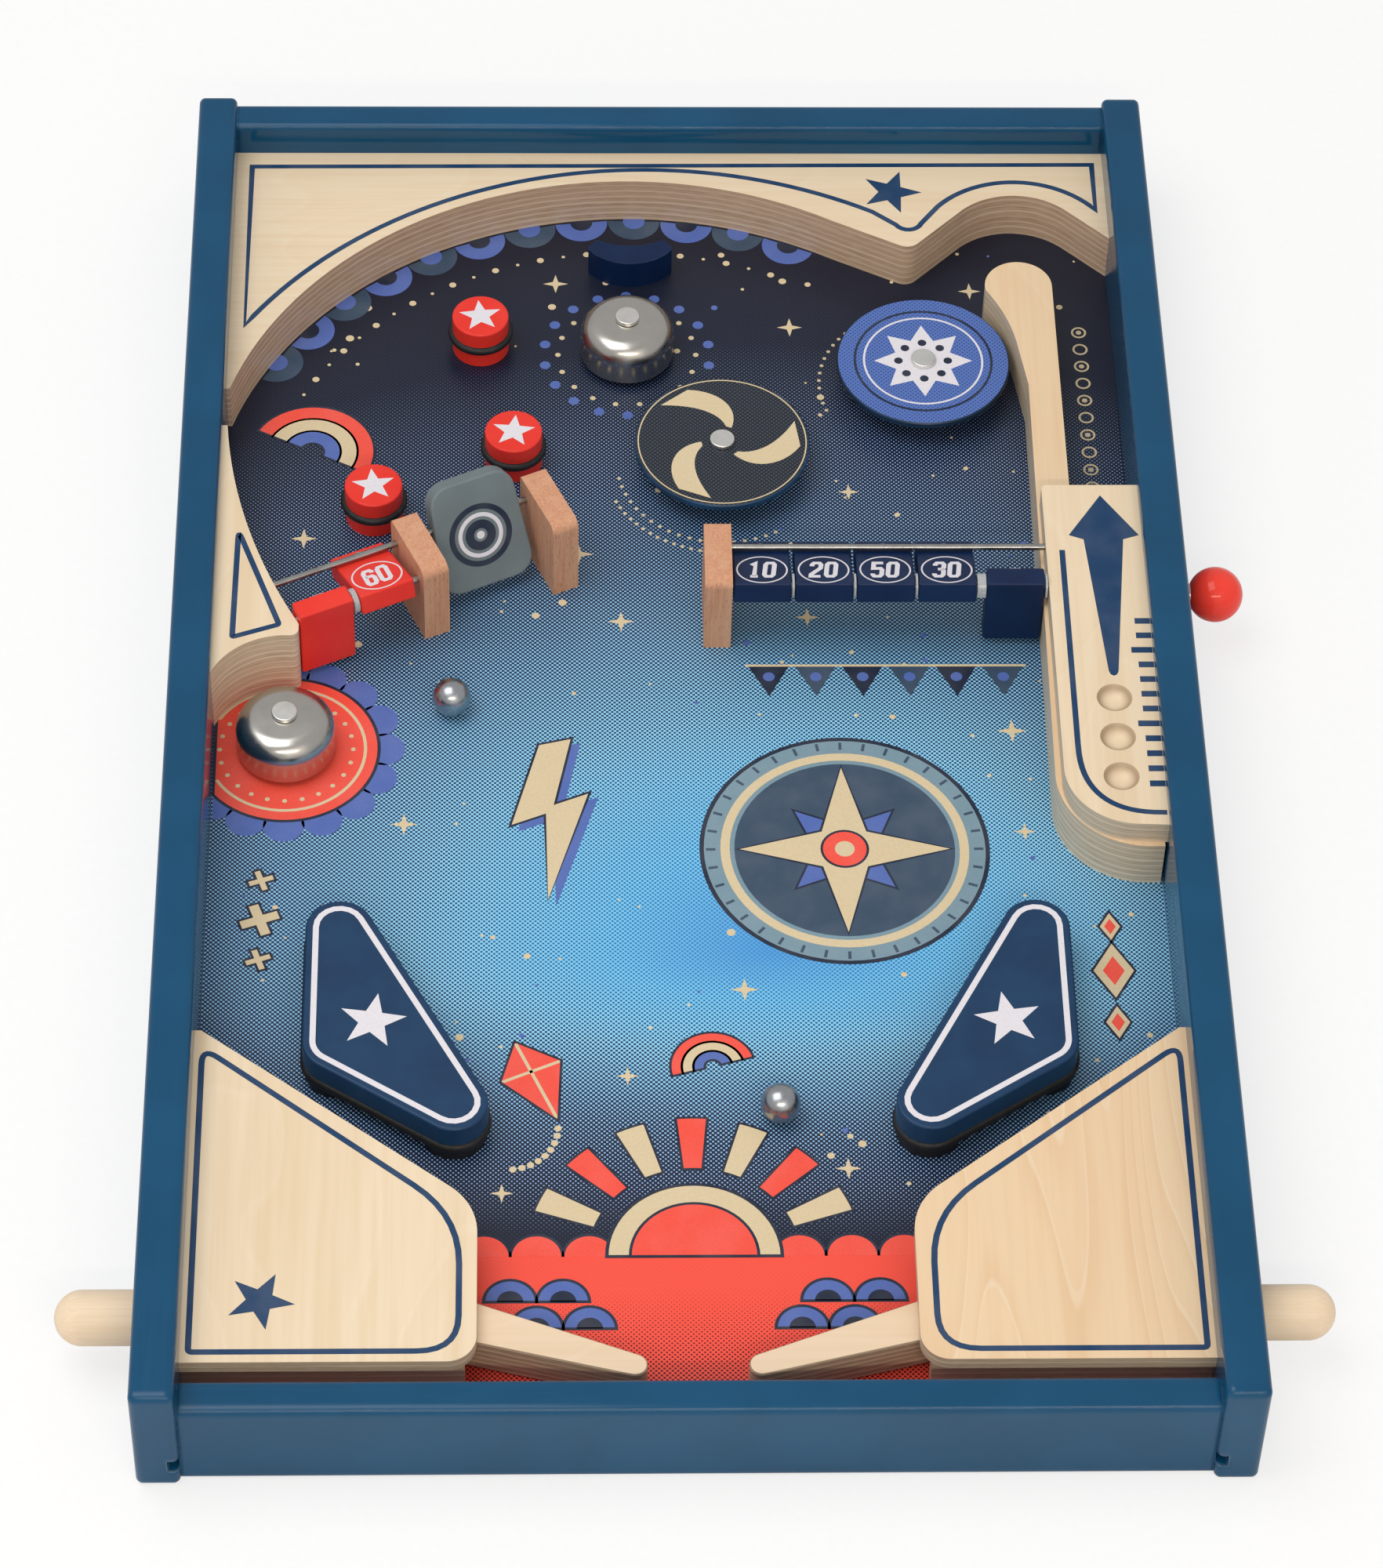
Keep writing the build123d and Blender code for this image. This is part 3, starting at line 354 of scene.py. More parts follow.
def printedBoard(name, look):
    material, place = startMaterial(name)
    tree = place.id_data
    spot = addNode(tree, "SeparateXYZ", {"Vector": place}).node.outputs
    aside, away = (addNode(tree, "Math", {0: spot[k], 1: look["centre"][k]}, operation="SUBTRACT")
                   for k in (0, 1))
    aside = addNode(tree, "Math", {0: aside, 1: look["sideReach"]}, operation="DIVIDE")
    behind = addNode(tree, "Math", {0: away, 1: 0.0}, operation="MAXIMUM")
    behind = addNode(tree, "Math", {0: behind, 1: look["backReach"]}, operation="DIVIDE")
    front = addNode(tree, "Math", {0: away, 1: 0.0}, operation="MINIMUM")
    front = addNode(tree, "Math", {0: front, 1: 1.0 / look["frontReach"], 2: behind},
                    operation="MULTIPLY_ADD")
    both = addNode(tree, "CombineXYZ", {"X": aside, "Y": front})
    reach = addNode(tree, "VectorMath", {0: both}, out="Value", operation="LENGTH")
    film, light, share = (addNode(tree, "ValToRGB", {"Fac": reach}, stops=look[part])
                          for part in ("dark", "light", "share"))
    redFrom, redTo = look["redDots"]
    redShare = addNode(tree, "MapRange", {"Value": spot["Y"], "From Min": redFrom, "From Max": redTo,
                                          "To Max": look["redShare"]})
    skyDots, redDots = (screenDots(place, look["pitch"], part, look["edge"]) for part in (share, redShare))
    ground = addNode(tree, "Mix", {0: redDots, 6: look["red"], 7: look["redDot"]}, out=2, data_type="RGBA")
    below = addNode(tree, "MapRange", {"Value": spot["Y"], "From Min": look["redStart"] + look["redEdge"],
                                     "From Max": look["redStart"] - look["redEdge"]})
    for mask, shade in ((skyDots, light), (below, ground)):
        film = addNode(tree, "Mix", {0: mask, 6: film, 7: shade}, out=2, data_type="RGBA")
    vein = mottle(place, look["vein"], detail=4.0)
    haze = mottle(place, look["haze"])
    under, pale = look["bare"]
    shades = ((vein, pale), (topMask(place, low=0.3, high=0.6), film))
    return closeMaterial(material, look, shades, haze, satin, under)


# Spinner discs: screened film on the top, dark enamel round the turned edge.
nightFilm = dict(
    base="1E222B", dot="48525F", share=0.34, pitch=1.3, edge=0.45, colour="1D4A73", shade="123553",
    cloud=15.0, roughness=(0.32, 0.44))
spinnerFilms = {
    "nightDisc": nightFilm,
    "dayDisc": dict(nightFilm, base="5878C4", dot="33497F", share=0.30, colour="173450", shade="10263C"),
}


def printedDisc(name, look):
    material, place = startMaterial(name)
    tree = place.id_data
    dots = screenDots(place, look["pitch"], look["share"], look["edge"])
    film = addNode(tree, "Mix", {0: dots, 6: look["base"], 7: look["dot"]}, out=2, data_type="RGBA")
    cloud = mottle(place, look["cloud"])
    shades = ((cloud, look["shade"]), (topMask(place, low=0.9, high=0.97), film))
    return closeMaterial(material, look, shades, cloud, satin)


made = {}
for maker, looks in (
        (paintedPine, rails), (plywood, plies), (solidWood, woods), (enamel, enamels), (metal, metals),
        (rubber, rubbers), (nylon, nylons), (ink, inks), (printedBoard, {"printedPlywood": skyFilm}),
        (printedDisc, spinnerFilms)):
    for name, look in looks.items():
        made[name] = maker(name, look)

finishes = {
    "paintedPineAlong": ["side_rail_left", "side_rail_right"],
    "paintedPineAcross": ["front_rail", "back_rail"],
    "archBirchPly": ["arch_plate"],
    "birchPly": ["left_guide", "launch_cover", "corner_cover_left", "corner_base_left"],
    "warmBirchPly": ["lane_guide", "corner_base_right"],
    "flamedBirchPly": ["corner_cover_right"],
    "printedPlywood": ["playfield_board"],
    "flipperBirchPly": ["flipper_left", "flipper_right"],
    "birchDowel": ["push_dowel_left", "push_dowel_right", "plunger_block", "bell_posts"],
    "beech": ["score_post", "swing_post_left", "swing_post_right"],
    "redEnamel": ["bumper_posts", "side_tile_1", "side_tile_2"],
    "knobEnamel": ["plunger_knob"],
    "navyEnamel": ["rebound_block"] + [f"score_tile_{k}" for k in range(1, 6)],
    "blueEnamel": ["sling_plate_left", "sling_plate_right"],
    "greyEnamel": ["swing_plate"],
    "nickelPlate": ["bell_upper", "bell_lower"],
    "rivetSteel": ["bell_rivets", "spinner_pins"],
    "bearingSteel": ["ball_upper", "ball_lower"],
    "drawnSteel": ["score_axle", "score_stop_rod", "side_axle", "side_stop_rod", "plunger_stem"],
    "springSteel": ["flipper_pins", "stop_pin_left", "stop_pin_right", "return_spring_left",
                    "return_spring_right", "plunger_spring", "board_screws"],
    "nitrileRubber": ["bumper_rings", "sling_bands", "sling_posts"],
    "turnedNylon": ["tile_spacers", "spinner_washers"],
    "nightDisc": ["spinner_left"],
    "dayDisc": ["spinner_right"],
}
for finish, names in finishes.items():
    for name in names:
        nodes[name].data.materials.clear()
        nodes[name].data.materials.append(made[finish])
print("finishes:", len(made), "on", sum(len(names) for names in finishes.values()), "nodes")

# Coil springs, each copied as a fixed piece on the case in place of its part: joint, fixed end in mm, length
# left at the limit
coils = {
    "plunger_spring": ("plunger_slide", -52.0, 0.125),
    "return_spring_left": ("flipper_left_hinge", -226.0, 0.33),
    "return_spring_right": ("flipper_right_hinge", -226.0, 0.33),
}
for name, (joint, fixedEnd, keep) in coils.items():
    coil = bpy.data.objects.new(name + "_coil", nodes[name].data.copy())
    scene.collection.objects.link(coil)
    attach(coil, "case")
    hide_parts(name)
    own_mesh(coil)
print("springs:", len(coils))


# Flat outlines, in millimetres
def arc(x, y, radius, start, end, count=16):
    angles = [math.radians(start + (end - start) * k / count) for k in range(count + 1)]
    return [(x + radius * math.cos(angle), y + radius * math.sin(angle)) for angle in angles]


def circle(x, y, radius, count=36):
    return arc(x, y, radius, 0.0, 360.0 - 360.0 / count, count - 1)


def ringLine(x, y, radius, width, count=48):
    return circle(x, y, radius, count), width, True


def dotsOn(spots, radius, count=12):
    return [circle(*spot, radius, count) for spot in spots]


def spotAt(x, y, reach, angle):
    return arc(x, y, reach, angle, angle, 1)[0]


def wedge(x, y, inner, outer, start, end, count=6):
    return arc(x, y, outer, start, end, count) + arc(x, y, inner, end, start, count)


def starPoints(x, y, outer, inner, tips=5, turn=90.0):
    return [spotAt(x, y, inner if k % 2 else outer, turn + 180.0 * k / tips) for k in range(2 * tips)]


def plainStar(x, y, size, turn=90.0, waist=0.4):
    return starPoints(x, y, size, size * waist, 5, turn)


def placed(shape, x, y, size=1.0, turn=0.0):
    c, s = size * math.cos(math.radians(turn)), size * math.sin(math.radians(turn))
    return [(x + u * c - v * s, y + u * s + v * c) for u, v in shape]


def arcThrough(first, middle, last, count=24):
    a, b, c = (complex(*spot) for spot in (first, middle, last))
    w = (c - a) / (b - a)
    centre = a + (b - a) * (w - abs(w) ** 2) / (2j * w.imag)
    start, mid, end = (math.degrees(math.atan2(p.imag, p.real)) for p in (a - centre, b - centre, c - centre))
    sweep = (end - start) % 360.0
    if (mid - start) % 360.0 > sweep:
        sweep -= 360.0
    return arc(centre.real, centre.imag, abs(a - centre), start, start + sweep, count)


def roundedLoop(corners, rounds, steps=7):
    points = []
    for k, (corner, cut) in enumerate(zip(corners, rounds)):
        here = Vector(corner)
        before = (Vector(corners[k - 1]) - here).normalized() * cut + here
        after = (Vector(corners[(k + 1) % len(corners)]) - here).normalized() * cut + here
        for step in range(steps + 1):
            t = step / steps
            points.append(tuple(before * (1 - t) ** 2 + here * (2 * t * (1 - t)) + after * t * t))
    return points


def bandAround(spots, radius, steps=8):
    # the line that a cord would take round three equal pegs, given counter-clockwise
    points = []
    for k, spot in enumerate(spots):
        here, before, after = Vector(spot), Vector(spots[k - 1]), Vector(spots[(k + 1) % len(spots)])
        start = math.degrees(math.atan2(*reversed(here - before))) - 90.0
        end = math.degrees(math.atan2(*reversed(after - here))) - 90.0
        points += arc(here.x, here.y, radius, start, start + (end - start) % 360.0, steps)
    return points


def lineSides(points, width, closed, sharpest=0.35):
    spots = [Vector(p) for p in points]
    sides = ([], [])
    for k, here in enumerate(spots):
        before = spots[k - 1] if closed or k else None
        after = spots[(k + 1) % len(spots)] if closed or k < len(spots) - 1 else None
        runs = [(b - a).normalized() for a, b in ((before, here), (here, after)) if a and b]
        normals = [Vector((-run.y, run.x)) for run in runs]
        joint = normals[0]
        if len(normals) == 2:
            joint = (normals[0] + normals[1]) / max(1.0 + normals[0].dot(normals[1]), sharpest)
        sides[0].append(here + joint * (width / 2))
        sides[1].append(here - joint * (width / 2))
    return sides


def flatPiece(name, finish, body, height, fills=(), lines=(), place=None, thick=0.08):
    # thin closed coats of ink: filled outlines, and lines as (points, width, closed)
    mesh = bpy.data.meshes.new(name)
    build = bmesh.new()
    place = place or Matrix.Identity(4)

    def ring(points, level):
        return [build.verts.new(place @ Vector((p[0] * mm, p[1] * mm, level * mm))) for p in points]

    for points in fills:
        low, high = ring(points, height), ring(points, height + thick)
        build.faces.new(high)
        build.faces.new(list(reversed(low)))
        for k in range(len(points)):
            n = (k + 1) % len(points)
            build.faces.new((low[k], low[n], high[n], high[k]))
    for points, width, closed in lines:
        left, right = lineSides(points, width, closed)
        loops = [ring(side, level) for side, level in ((left, height), (left, height + thick),
                                                       (right, height + thick), (right, height))]
        count = len(points)
        for k in range(count if closed else count - 1):
            n = (k + 1) % count
            for a, b in zip(loops, loops[1:] + loops[:1]):
                build.faces.new((a[k], a[n], b[n], b[k]))
        if not closed:
            build.faces.new([loop[0] for loop in loops])
            build.faces.new([loop[-1] for loop in reversed(loops)])
    bmesh.ops.recalc_face_normals(build, faces=build.faces)
    build.to_mesh(mesh)
    build.free()
    piece = bpy.data.objects.new(name, mesh)
    scene.collection.objects.link(piece)
    mesh.materials.append(made[finish])
    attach(piece, body)


# Heights of the printed faces, in millimetres
boardTop, archTop, coverTop, cornerTop, guideTop, slingTop, bumperTop, discTop = (
    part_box(name)[1].z / mm for name in ("playfield_board", "arch_plate", "launch_cover", "corner_cover_left",
                                        "left_guide", "sling_plate_left", "bumper_posts", "spinner_left"))

# Painted lines and stars on the plywood
trim = dict(
    line=2.1, archBack=((-166.5, 284.6), (168.3, 286.2)),
    archLane=((168.2, 260.6), (136.2, 276.2), (105.6, 262.4)),
    archCusp=((98.6, 252.9), (94.0, 249.4), (88.6, 252.1)),
    archCurve=((79.5, 259.4), (-13.8, 283.0), (-166.6, 196.6)), archStar=(87.3, 270.6, 12.2, 71.0),
    guideCorners=((-164.6, 80.4), (-165.2, 27.9), (-148.2, 34.0)), guideRounds=(4, 1, 1),
    cornerCorners=((-169.6, -278.9), (-80.0, -278.9), (-80.0, -224.0), (-169.6, -152.9)),
    cornerRounds=(1.5, 14.0, 20.0, 7.0), cornerStar=(-146.4, -258.6, 11.8, 65.0), coverStart=(142.2, 70.0),
    coverBend=(172.0, -24.0, 30.0, 32.4), coverCurl=0.77,
    arrow=((158.2, 97.6), (171.4, 77.5), (165.4, 75.4), (159.2, 10.6), (158.6, 8.9), (157.4, 8.2),
        (156.2, 8.9), (155.6, 10.6), (150.6, 75.4), (145.2, 77.5)), tickStart=34.8, tickStep=7.07, ticks=12,
    tickLength=5.6, tickLong=7.8, longTicks=(2, 7), tickWidth=2.7, tickEnd=172.4)
archLoop = (list(trim["archBack"]) + arcThrough(*trim["archLane"]) + arcThrough(*trim["archCusp"], 8)
            + arcThrough(*trim["archCurve"], 48))
flatPiece("arch_line", "lineInk", "case", archTop, [plainStar(*trim["archStar"])],
          [(archLoop, trim["line"], True)])
guideLoop = roundedLoop(trim["guideCorners"], trim["guideRounds"])
flatPiece("guide_line", "lineInk", "case", guideTop, [], [(guideLoop, trim["line"], True)])
for side, tag in ((1, "left"), (-1, "right")):
    loop = [(side * x, y) for x, y in roundedLoop(trim["cornerCorners"], trim["cornerRounds"])]
    fills = [plainStar(*trim["cornerStar"])] if side == 1 else []
    flatPiece(f"corner_line_{tag}", "lineInk", "case", cornerTop, fills, [(loop, trim["line"], True)])
marks = []
for k in range(trim["ticks"]):
    y = trim["tickStart"] - trim["tickStep"] * k
    length = trim["tickLong"] if k in trim["longTicks"] else trim["tickLength"]
    marks.append(([(trim["tickEnd"] - length, y), (trim["tickEnd"], y)], trim["tickWidth"], False))
x, y, wide, deep = trim["coverBend"]
curl = trim["coverCurl"]
coverLine = [trim["coverStart"]]
for c, s in arc(0.0, 0.0, 1.0, 0.0, 90.0, 18):
    coverLine.append((x - wide * c ** curl, y - deep * s ** curl))
marks.append((coverLine, trim["line"], False))
flatPiece("cover_marks", "lineInk", "case", coverTop, [trim["arrow"]], marks)
print("painted lines done")

# Slingshot plates and bumpers
slingArt = dict(
    spots=((-123.5, -97.3), (-123.5, -147.5), (-82.5, -174.0)), inset=8.3, line=2.1,
    star=(-111.2, -139.0, 12.2), lean=9.0)
for side, tag in ((1, "left"), (-1, "right")):
    spots = [(side * x, y) for x, y in slingArt["spots"]]
    loop = bandAround(spots if side == 1 else list(reversed(spots)), slingArt["inset"])
    x, y, size = slingArt["star"]
    star = plainStar(side * x, y, size, 90 - side * slingArt["lean"])
    flatPiece(f"sling_print_{tag}", "whiteInk", "case", slingTop, [star], [(loop, slingArt["line"], True)])
bumperArt = dict(
    spots=((-75.4, 205.8, 96.0), (-62.4, 144.2, 84.0), (-115.4, 116.2, 97.0)), size=8.4, waist=0.42)
for k, (x, y, turn) in enumerate(bumperArt["spots"]):
    star = plainStar(x, y, bumperArt["size"], turn, bumperArt["waist"])
    flatPiece(f"bumper_star_{k + 1}", "whiteInk", "case", bumperTop, [star])
print("slingshots and bumpers printed")

# Numbers on the score tiles: strokes in a unit box, drawn on the face that shows once a tile is raised
digits = {
    "0": [([(0.2, 0), (0.8, 0), (1, 0.12), (1, 0.88), (0.8, 1), (0.2, 1), (0, 0.88), (0, 0.12)], True)],
    "1": [([(0.1, 0.84), (0.55, 1), (0.55, 0)], False), ([(0.12, 0), (0.98, 0)], False)],
    "2": [([(0, 0.76), (0, 0.88), (0.2, 1), (0.8, 1), (1, 0.88), (1, 0.62), (0, 0.14), (0, 0),
            (1.08, 0)], False)],
    "3": [([(0, 0.8), (0, 0.88), (0.2, 1), (0.8, 1), (1, 0.88), (1, 0.64), (0.78, 0.53),
            (0.35, 0.53)], False),
          ([(0.78, 0.53), (1, 0.42), (1, 0.12), (0.8, 0), (0.2, 0), (0, 0.12), (0, 0.2)], False)],
    "4": [([(0.75, 0), (0.75, 1), (0, 0.34), (0, 0.26), (1.1, 0.26)], False)],
    "5": [([(1.05, 1), (0, 1), (0, 0.58), (0.8, 0.6), (1, 0.48), (1, 0.12), (0.8, 0), (0.2, 0), (0, 0.12),
            (0, 0.2)], False)],
    "6": [([(1, 0.8), (1, 0.88), (0.8, 1), (0.2, 1), (0, 0.88), (0, 0.12), (0.2, 0), (0.8, 0), (1, 0.12),
            (1, 0.46), (0.8, 0.57), (0.05, 0.57)], False)],
    "7": [([(-0.05, 1), (1, 1), (1, 0.86), (0.4, 0)], False)],
}
tile = dict(
    axle=(0.0545, 0.043), flip=72.6, half=4.2, middle=-4.6, ring=(9.3, 0.62), digitWidth=3.3,
    digitHeight=9.6, stroke=1.75, gap=2.3, slant=0.10, magnet=2.0, magnetSpot=-21.6, magnetThick=0.12,
    score=(("10", 29.95, 1), ("20", 52.85, 1), ("50", 75.75, 1), ("30", 98.65, 1), ("40", 123.95, 0)),
    side=(("70", -38.15, 0), ("60", -14.05, 1)), sideCorner=(-95.3, 53.3), sideTurn=24.7, sideBack=5.5)


def numberLines(text):
    look = tile
    total = len(text) * look["digitWidth"] + (len(text) - 1) * look["gap"]
    strokes = []
    for k, digit in enumerate(text):
        left = -total / 2 + k * (look["digitWidth"] + look["gap"])
        for points, closed in digits[digit]:
            drawn = []
            for u, v in points:
                y = (v - 0.5) * look["digitHeight"]
                drawn.append((left + u * look["digitWidth"] + y * look["slant"], y))
            strokes.append((drawn, look["stroke"], closed))
    return strokes


def sideSpot(along, back):
    # a place on the left axle's level, along its posts and back from their corner
    turn = math.radians(tile["sideTurn"])
    x = tile["sideCorner"][0] + along * math.cos(turn) - back * math.sin(turn)
    y = tile["sideCorner"][1] + along * math.sin(turn) + back * math.cos(turn)
    return x * mm, y * mm, tile["axle"][1]


def facePlace(middle, turn, lean, side, half, drop=0.0):
    # from a flat print to the rear (side 1) or the front (side -1) of a hanging piece
    face = Matrix(((1, 0, 0, 0), (0, 0, side, side * half * mm), (0, -side, 0, drop * mm), (0, 0, 0, 1)))
    return (Matrix.Translation(middle) @ Matrix.Rotation(math.radians(turn), 4, "Z")
            @ Matrix.Rotation(math.radians(lean), 4, "X") @ face)


def printTile(name, text, middle, turn, raised):
    # the number's top points to the tile's free end, and the magnet lies beyond it
    lean = tile["flip"] if raised else 0.0
    place = facePlace(middle, turn, lean, 1, tile["half"], tile["middle"])
    lines = [ringLine(0, 0, *tile["ring"])] + numberLines(text)
    flatPiece(f"{name}_number", "whiteInk", name, 0.0, [], lines, place)
    magnet = circle(0.0, tile["middle"] - tile["magnetSpot"], tile["magnet"], 24)
    flatPiece(f"{name}_magnet", "nickelPlate", name, 0.0, [magnet], [], place, tile["magnetThick"])


for k, (text, x, raised) in enumerate(tile["score"]):
    printTile(f"score_tile_{k + 1}", text, (x * mm, *tile["axle"]), 0.0, raised)
for k, (text, along, raised) in enumerate(tile["side"]):
    printTile(f"side_tile_{k + 1}", text, sideSpot(along, tile["sideBack"]), tile["sideTurn"], raised)
print("tiles printed")

# Swing plate: a plain ringed target on the front face
swingArt = dict(
    along=31.55, back=24.8, lean=-25.0, half=3.75, centre=-6.0, navy=((11.5, 2.2), (4.4, 3.4)),
    white=((8.2, 1.6),), eye=1.6)
swingMiddle = sideSpot(swingArt["along"], swingArt["back"])
swingFace = facePlace(swingMiddle, tile["sideTurn"], swingArt["lean"], -1, swingArt["half"])
eye = circle(0, swingArt["centre"], swingArt["eye"], 24)
for tag, finish, fills in (("navy", "nightInk", []), ("white", "whiteInk", [eye])):
    rings = [ringLine(0, swingArt["centre"], *ring) for ring in swingArt[tag]]
    flatPiece(f"swing_target_{tag}", finish, "swing_plate", 0.0, fills, rings, swingFace)
print("swing plate printed")

# Spinner discs: curved blades on one, a spoked star on the other
discArt = dict(
    left=(17.5, 142.0), right=(96.6, 184.8), blades=3, bladeTurn=-50.0, outer=30.0, inner=8.0, sweep=58.0,
    width=36.0, swell=(0.15, 0.6), line=(32.2, 0.5), star=(19.0, 11.5, 8), whiteRing=(23.0, 0.8),
    nightRing=(26.6, 0.9), holes=(9.6, 1.7), holeThick=0.12)


def blade(x, y, angle, rows=14):
    look = discArt
    edges = ([], [])
    for k in range(rows + 1):
        t = k / rows
        reach = look["inner"] + (look["outer"] - look["inner"]) * t
        lead = math.radians(angle + look["sweep"] * t)
        wide = math.radians(look["width"] * math.sin(math.pi * (look["swell"][0] + look["swell"][1] * t)))
        for edge, side in zip(edges, (-0.5, 0.5)):
            edge.append((x + reach * math.cos(lead + wide * side), y + reach * math.sin(lead + wide * side)))
    return edges[0] + list(reversed(edges[1]))


x, y = discArt["left"]
count = discArt["blades"]
blades = [blade(x, y, 360.0 * k / count + discArt["bladeTurn"]) for k in range(count)]
flatPiece("spinner_left_blades", "creamInk", "spinner_left", discTop, blades,
          [ringLine(x, y, *discArt["line"], 72)])
x, y = discArt["right"]
outer, inner, tips = discArt["star"]
flatPiece("spinner_right_star", "whiteInk", "spinner_right", discTop, [starPoints(x, y, outer, inner, tips)],
          [ringLine(x, y, *discArt["whiteRing"], 60)])
reach, size = discArt["holes"]
holes = dotsOn(circle(x, y, reach, tips), size, 16)
flatPiece("spinner_right_dots", "nightInk", "spinner_right", discTop, holes,
          [ringLine(x, y, *discArt["nightRing"], 60)], thick=discArt["holeThick"])
print("spinners printed")

# Board print: coats of ink by layer, so that a later shape lies on an earlier one
coats = {}
coatThick, coatStep = 0.03, 0.02


def lay(layer, finish, fills=(), lines=()):
    coat = coats.setdefault((layer, finish), ([], []))
    coat[0].extend(fills)
    coat[1].extend(lines)


def layEdged(layer, finish, shapes, line=0.9):
    lay(layer, finish, shapes)
    lay(layer + 1, "nightInk", [], [(shape, line, True) for shape in shapes])


# A row of hanging scallops under the arch, with a string of dots below it
bunting = dict(
    centre=(-17.9, 116.3), radius=159, size=10.4, heart=0.42, start=66, step=7.6, count=12,
    dotReach=141, dot=1.4, inks=(("periInk", "nightInk"), ("deepInk", "periInk")))
for k in range(bunting["count"]):
    angle = bunting["start"] + bunting["step"] * k
    spot = spotAt(*bunting["centre"], bunting["radius"], angle)
    outside, heart = bunting["inks"][k % 2]
    lay(1, outside, [arc(*spot, bunting["size"], angle + 90, angle + 270)])
    lay(2, heart, [circle(*spot, bunting["size"] * bunting["heart"], 24)])
    for half in (0.0, 0.5):
        spot = spotAt(*bunting["centre"], bunting["dotReach"], angle + half * bunting["step"])
        lay(1, "creamInk", [circle(*spot, bunting["dot"] * (1.0 - half), 14)])

# Rings of dots round the upper bell
bellDots = dict(centre=(-18.2, 201), inner=27, outer=32.5, turn=10, count=18, cream=1.1, blue=2.1)
x, y = bellDots["centre"]
turn, count = bellDots["turn"], bellDots["count"]
lay(1, "creamInk", dotsOn(circle(x, y, bellDots["inner"], count), bellDots["cream"], 14))
lay(1, "periInk", dotsOn(arc(x, y, bellDots["outer"], turn, 360.0 - turn, count - 1), bellDots["blue"], 16))

# Lightning bolt
bolt = dict(
    shape=((0.10, 1), (-0.44, 0.02), (-0.06, 0.08), (-0.30, -1), (0.46, 0.26), (0.08, 0.20),
        (0.46, 1)), spot=(-48, -34), size=36, turn=14, shadow=(3, -2.4))
x, y = bolt["spot"]
shadow = (x + bolt["shadow"][0], y + bolt["shadow"][1])
lay(1, "periInk", [placed(bolt["shape"], *shadow, bolt["size"], bolt["turn"])])
layEdged(2, "creamInk", [placed(bolt["shape"], x, y, bolt["size"], bolt["turn"])])

# Small rings up the launch lane, with a dot in every other one
laneRings = dict(x=160, start=112, step=9.2, count=12, radius=2.6, line=0.8, dot=1.1)
for k in range(laneRings["count"]):
    spot = (laneRings["x"], laneRings["start"] + laneRings["step"] * k)
    lay(1, "creamInk", dotsOn([spot], laneRings["dot"]) if k % 2 else [],
        [ringLine(*spot, laneRings["radius"], laneRings["line"], 24)])

# Round flower under the lower bell, cut off by the rail
flower = dict(
    centre=(-145.6, -0.4), petals=16, petal=(36, 7.6), disc=34, discLine=1.2, ring=29, line=1.2,
    open=(-150, 150), dots=24, dotReach=24.5, dot=0.9, rail=-171.8)
x, y = flower["centre"]
reach, size = flower["petal"]
petals = dotsOn(circle(x, y, reach, flower["petals"]), size, 24)
*petals, disc = ([(max(u, flower["rail"]), v) for u, v in shape]
                 for shape in petals + [circle(x, y, flower["disc"], 64)])
lay(1, "periInk", petals)
layEdged(2, "redInk", [disc], flower["discLine"])
lay(3, "creamInk", dotsOn(circle(x, y, flower["dotReach"], flower["dots"]), flower["dot"]),
    [(arc(x, y, flower["ring"], *flower["open"], 48), flower["line"], False)])

# Compass emblem right of the middle
emblem = dict(
    centre=(58, -48), disc=52, line=1.6, band=(43.5, 3.4), ticks=(47, 50.4, 36), tick=1.1,
    star=(39, 12), small=(26, 11), hub=8.4, eye=3.6)
x, y = emblem["centre"]
layEdged(1, "slateInk", [circle(x, y, emblem["disc"], 72)], emblem["line"])
inner, outer, count = emblem["ticks"]
for k in range(count):
    tick = [spotAt(x, y, reach, 360.0 * k / count) for reach in (inner, outer)]
    lay(3, "deepInk", [], [(tick, emblem["tick"], False)])
lay(3, "creamInk", [], [ringLine(x, y, *emblem["band"], 72)])
lay(3, "deepInk", [circle(x, y, emblem["band"][0] - emblem["band"][1], 64)])
layEdged(4, "periInk", [starPoints(x, y, *emblem["small"], 4, 45.0)])
layEdged(6, "creamInk", [starPoints(x, y, *emblem["star"], 4)])
layEdged(8, "redInk", [circle(x, y, emblem["hub"], 32)])
lay(9, "creamInk", [circle(x, y, emblem["eye"], 20)])

# Rainbow bows behind the left bumpers, and a smaller one between the slingshots
bows = dict(
    spots=((-140, 149, 24, -28), (8, -146, 15, 16)), step=0.27,
    inks=("redInk", "creamInk", "periInk"))
for x, y, size, turn in bows["spots"]:
    for k, finish in enumerate(bows["inks"]):
        outer, inner = size * (1.0 - bows["step"] * k), size * (1.0 - bows["step"] * (k + 1))
        layEdged(1, finish, [wedge(x, y, inner, outer, turn, turn + 180.0, 24)])

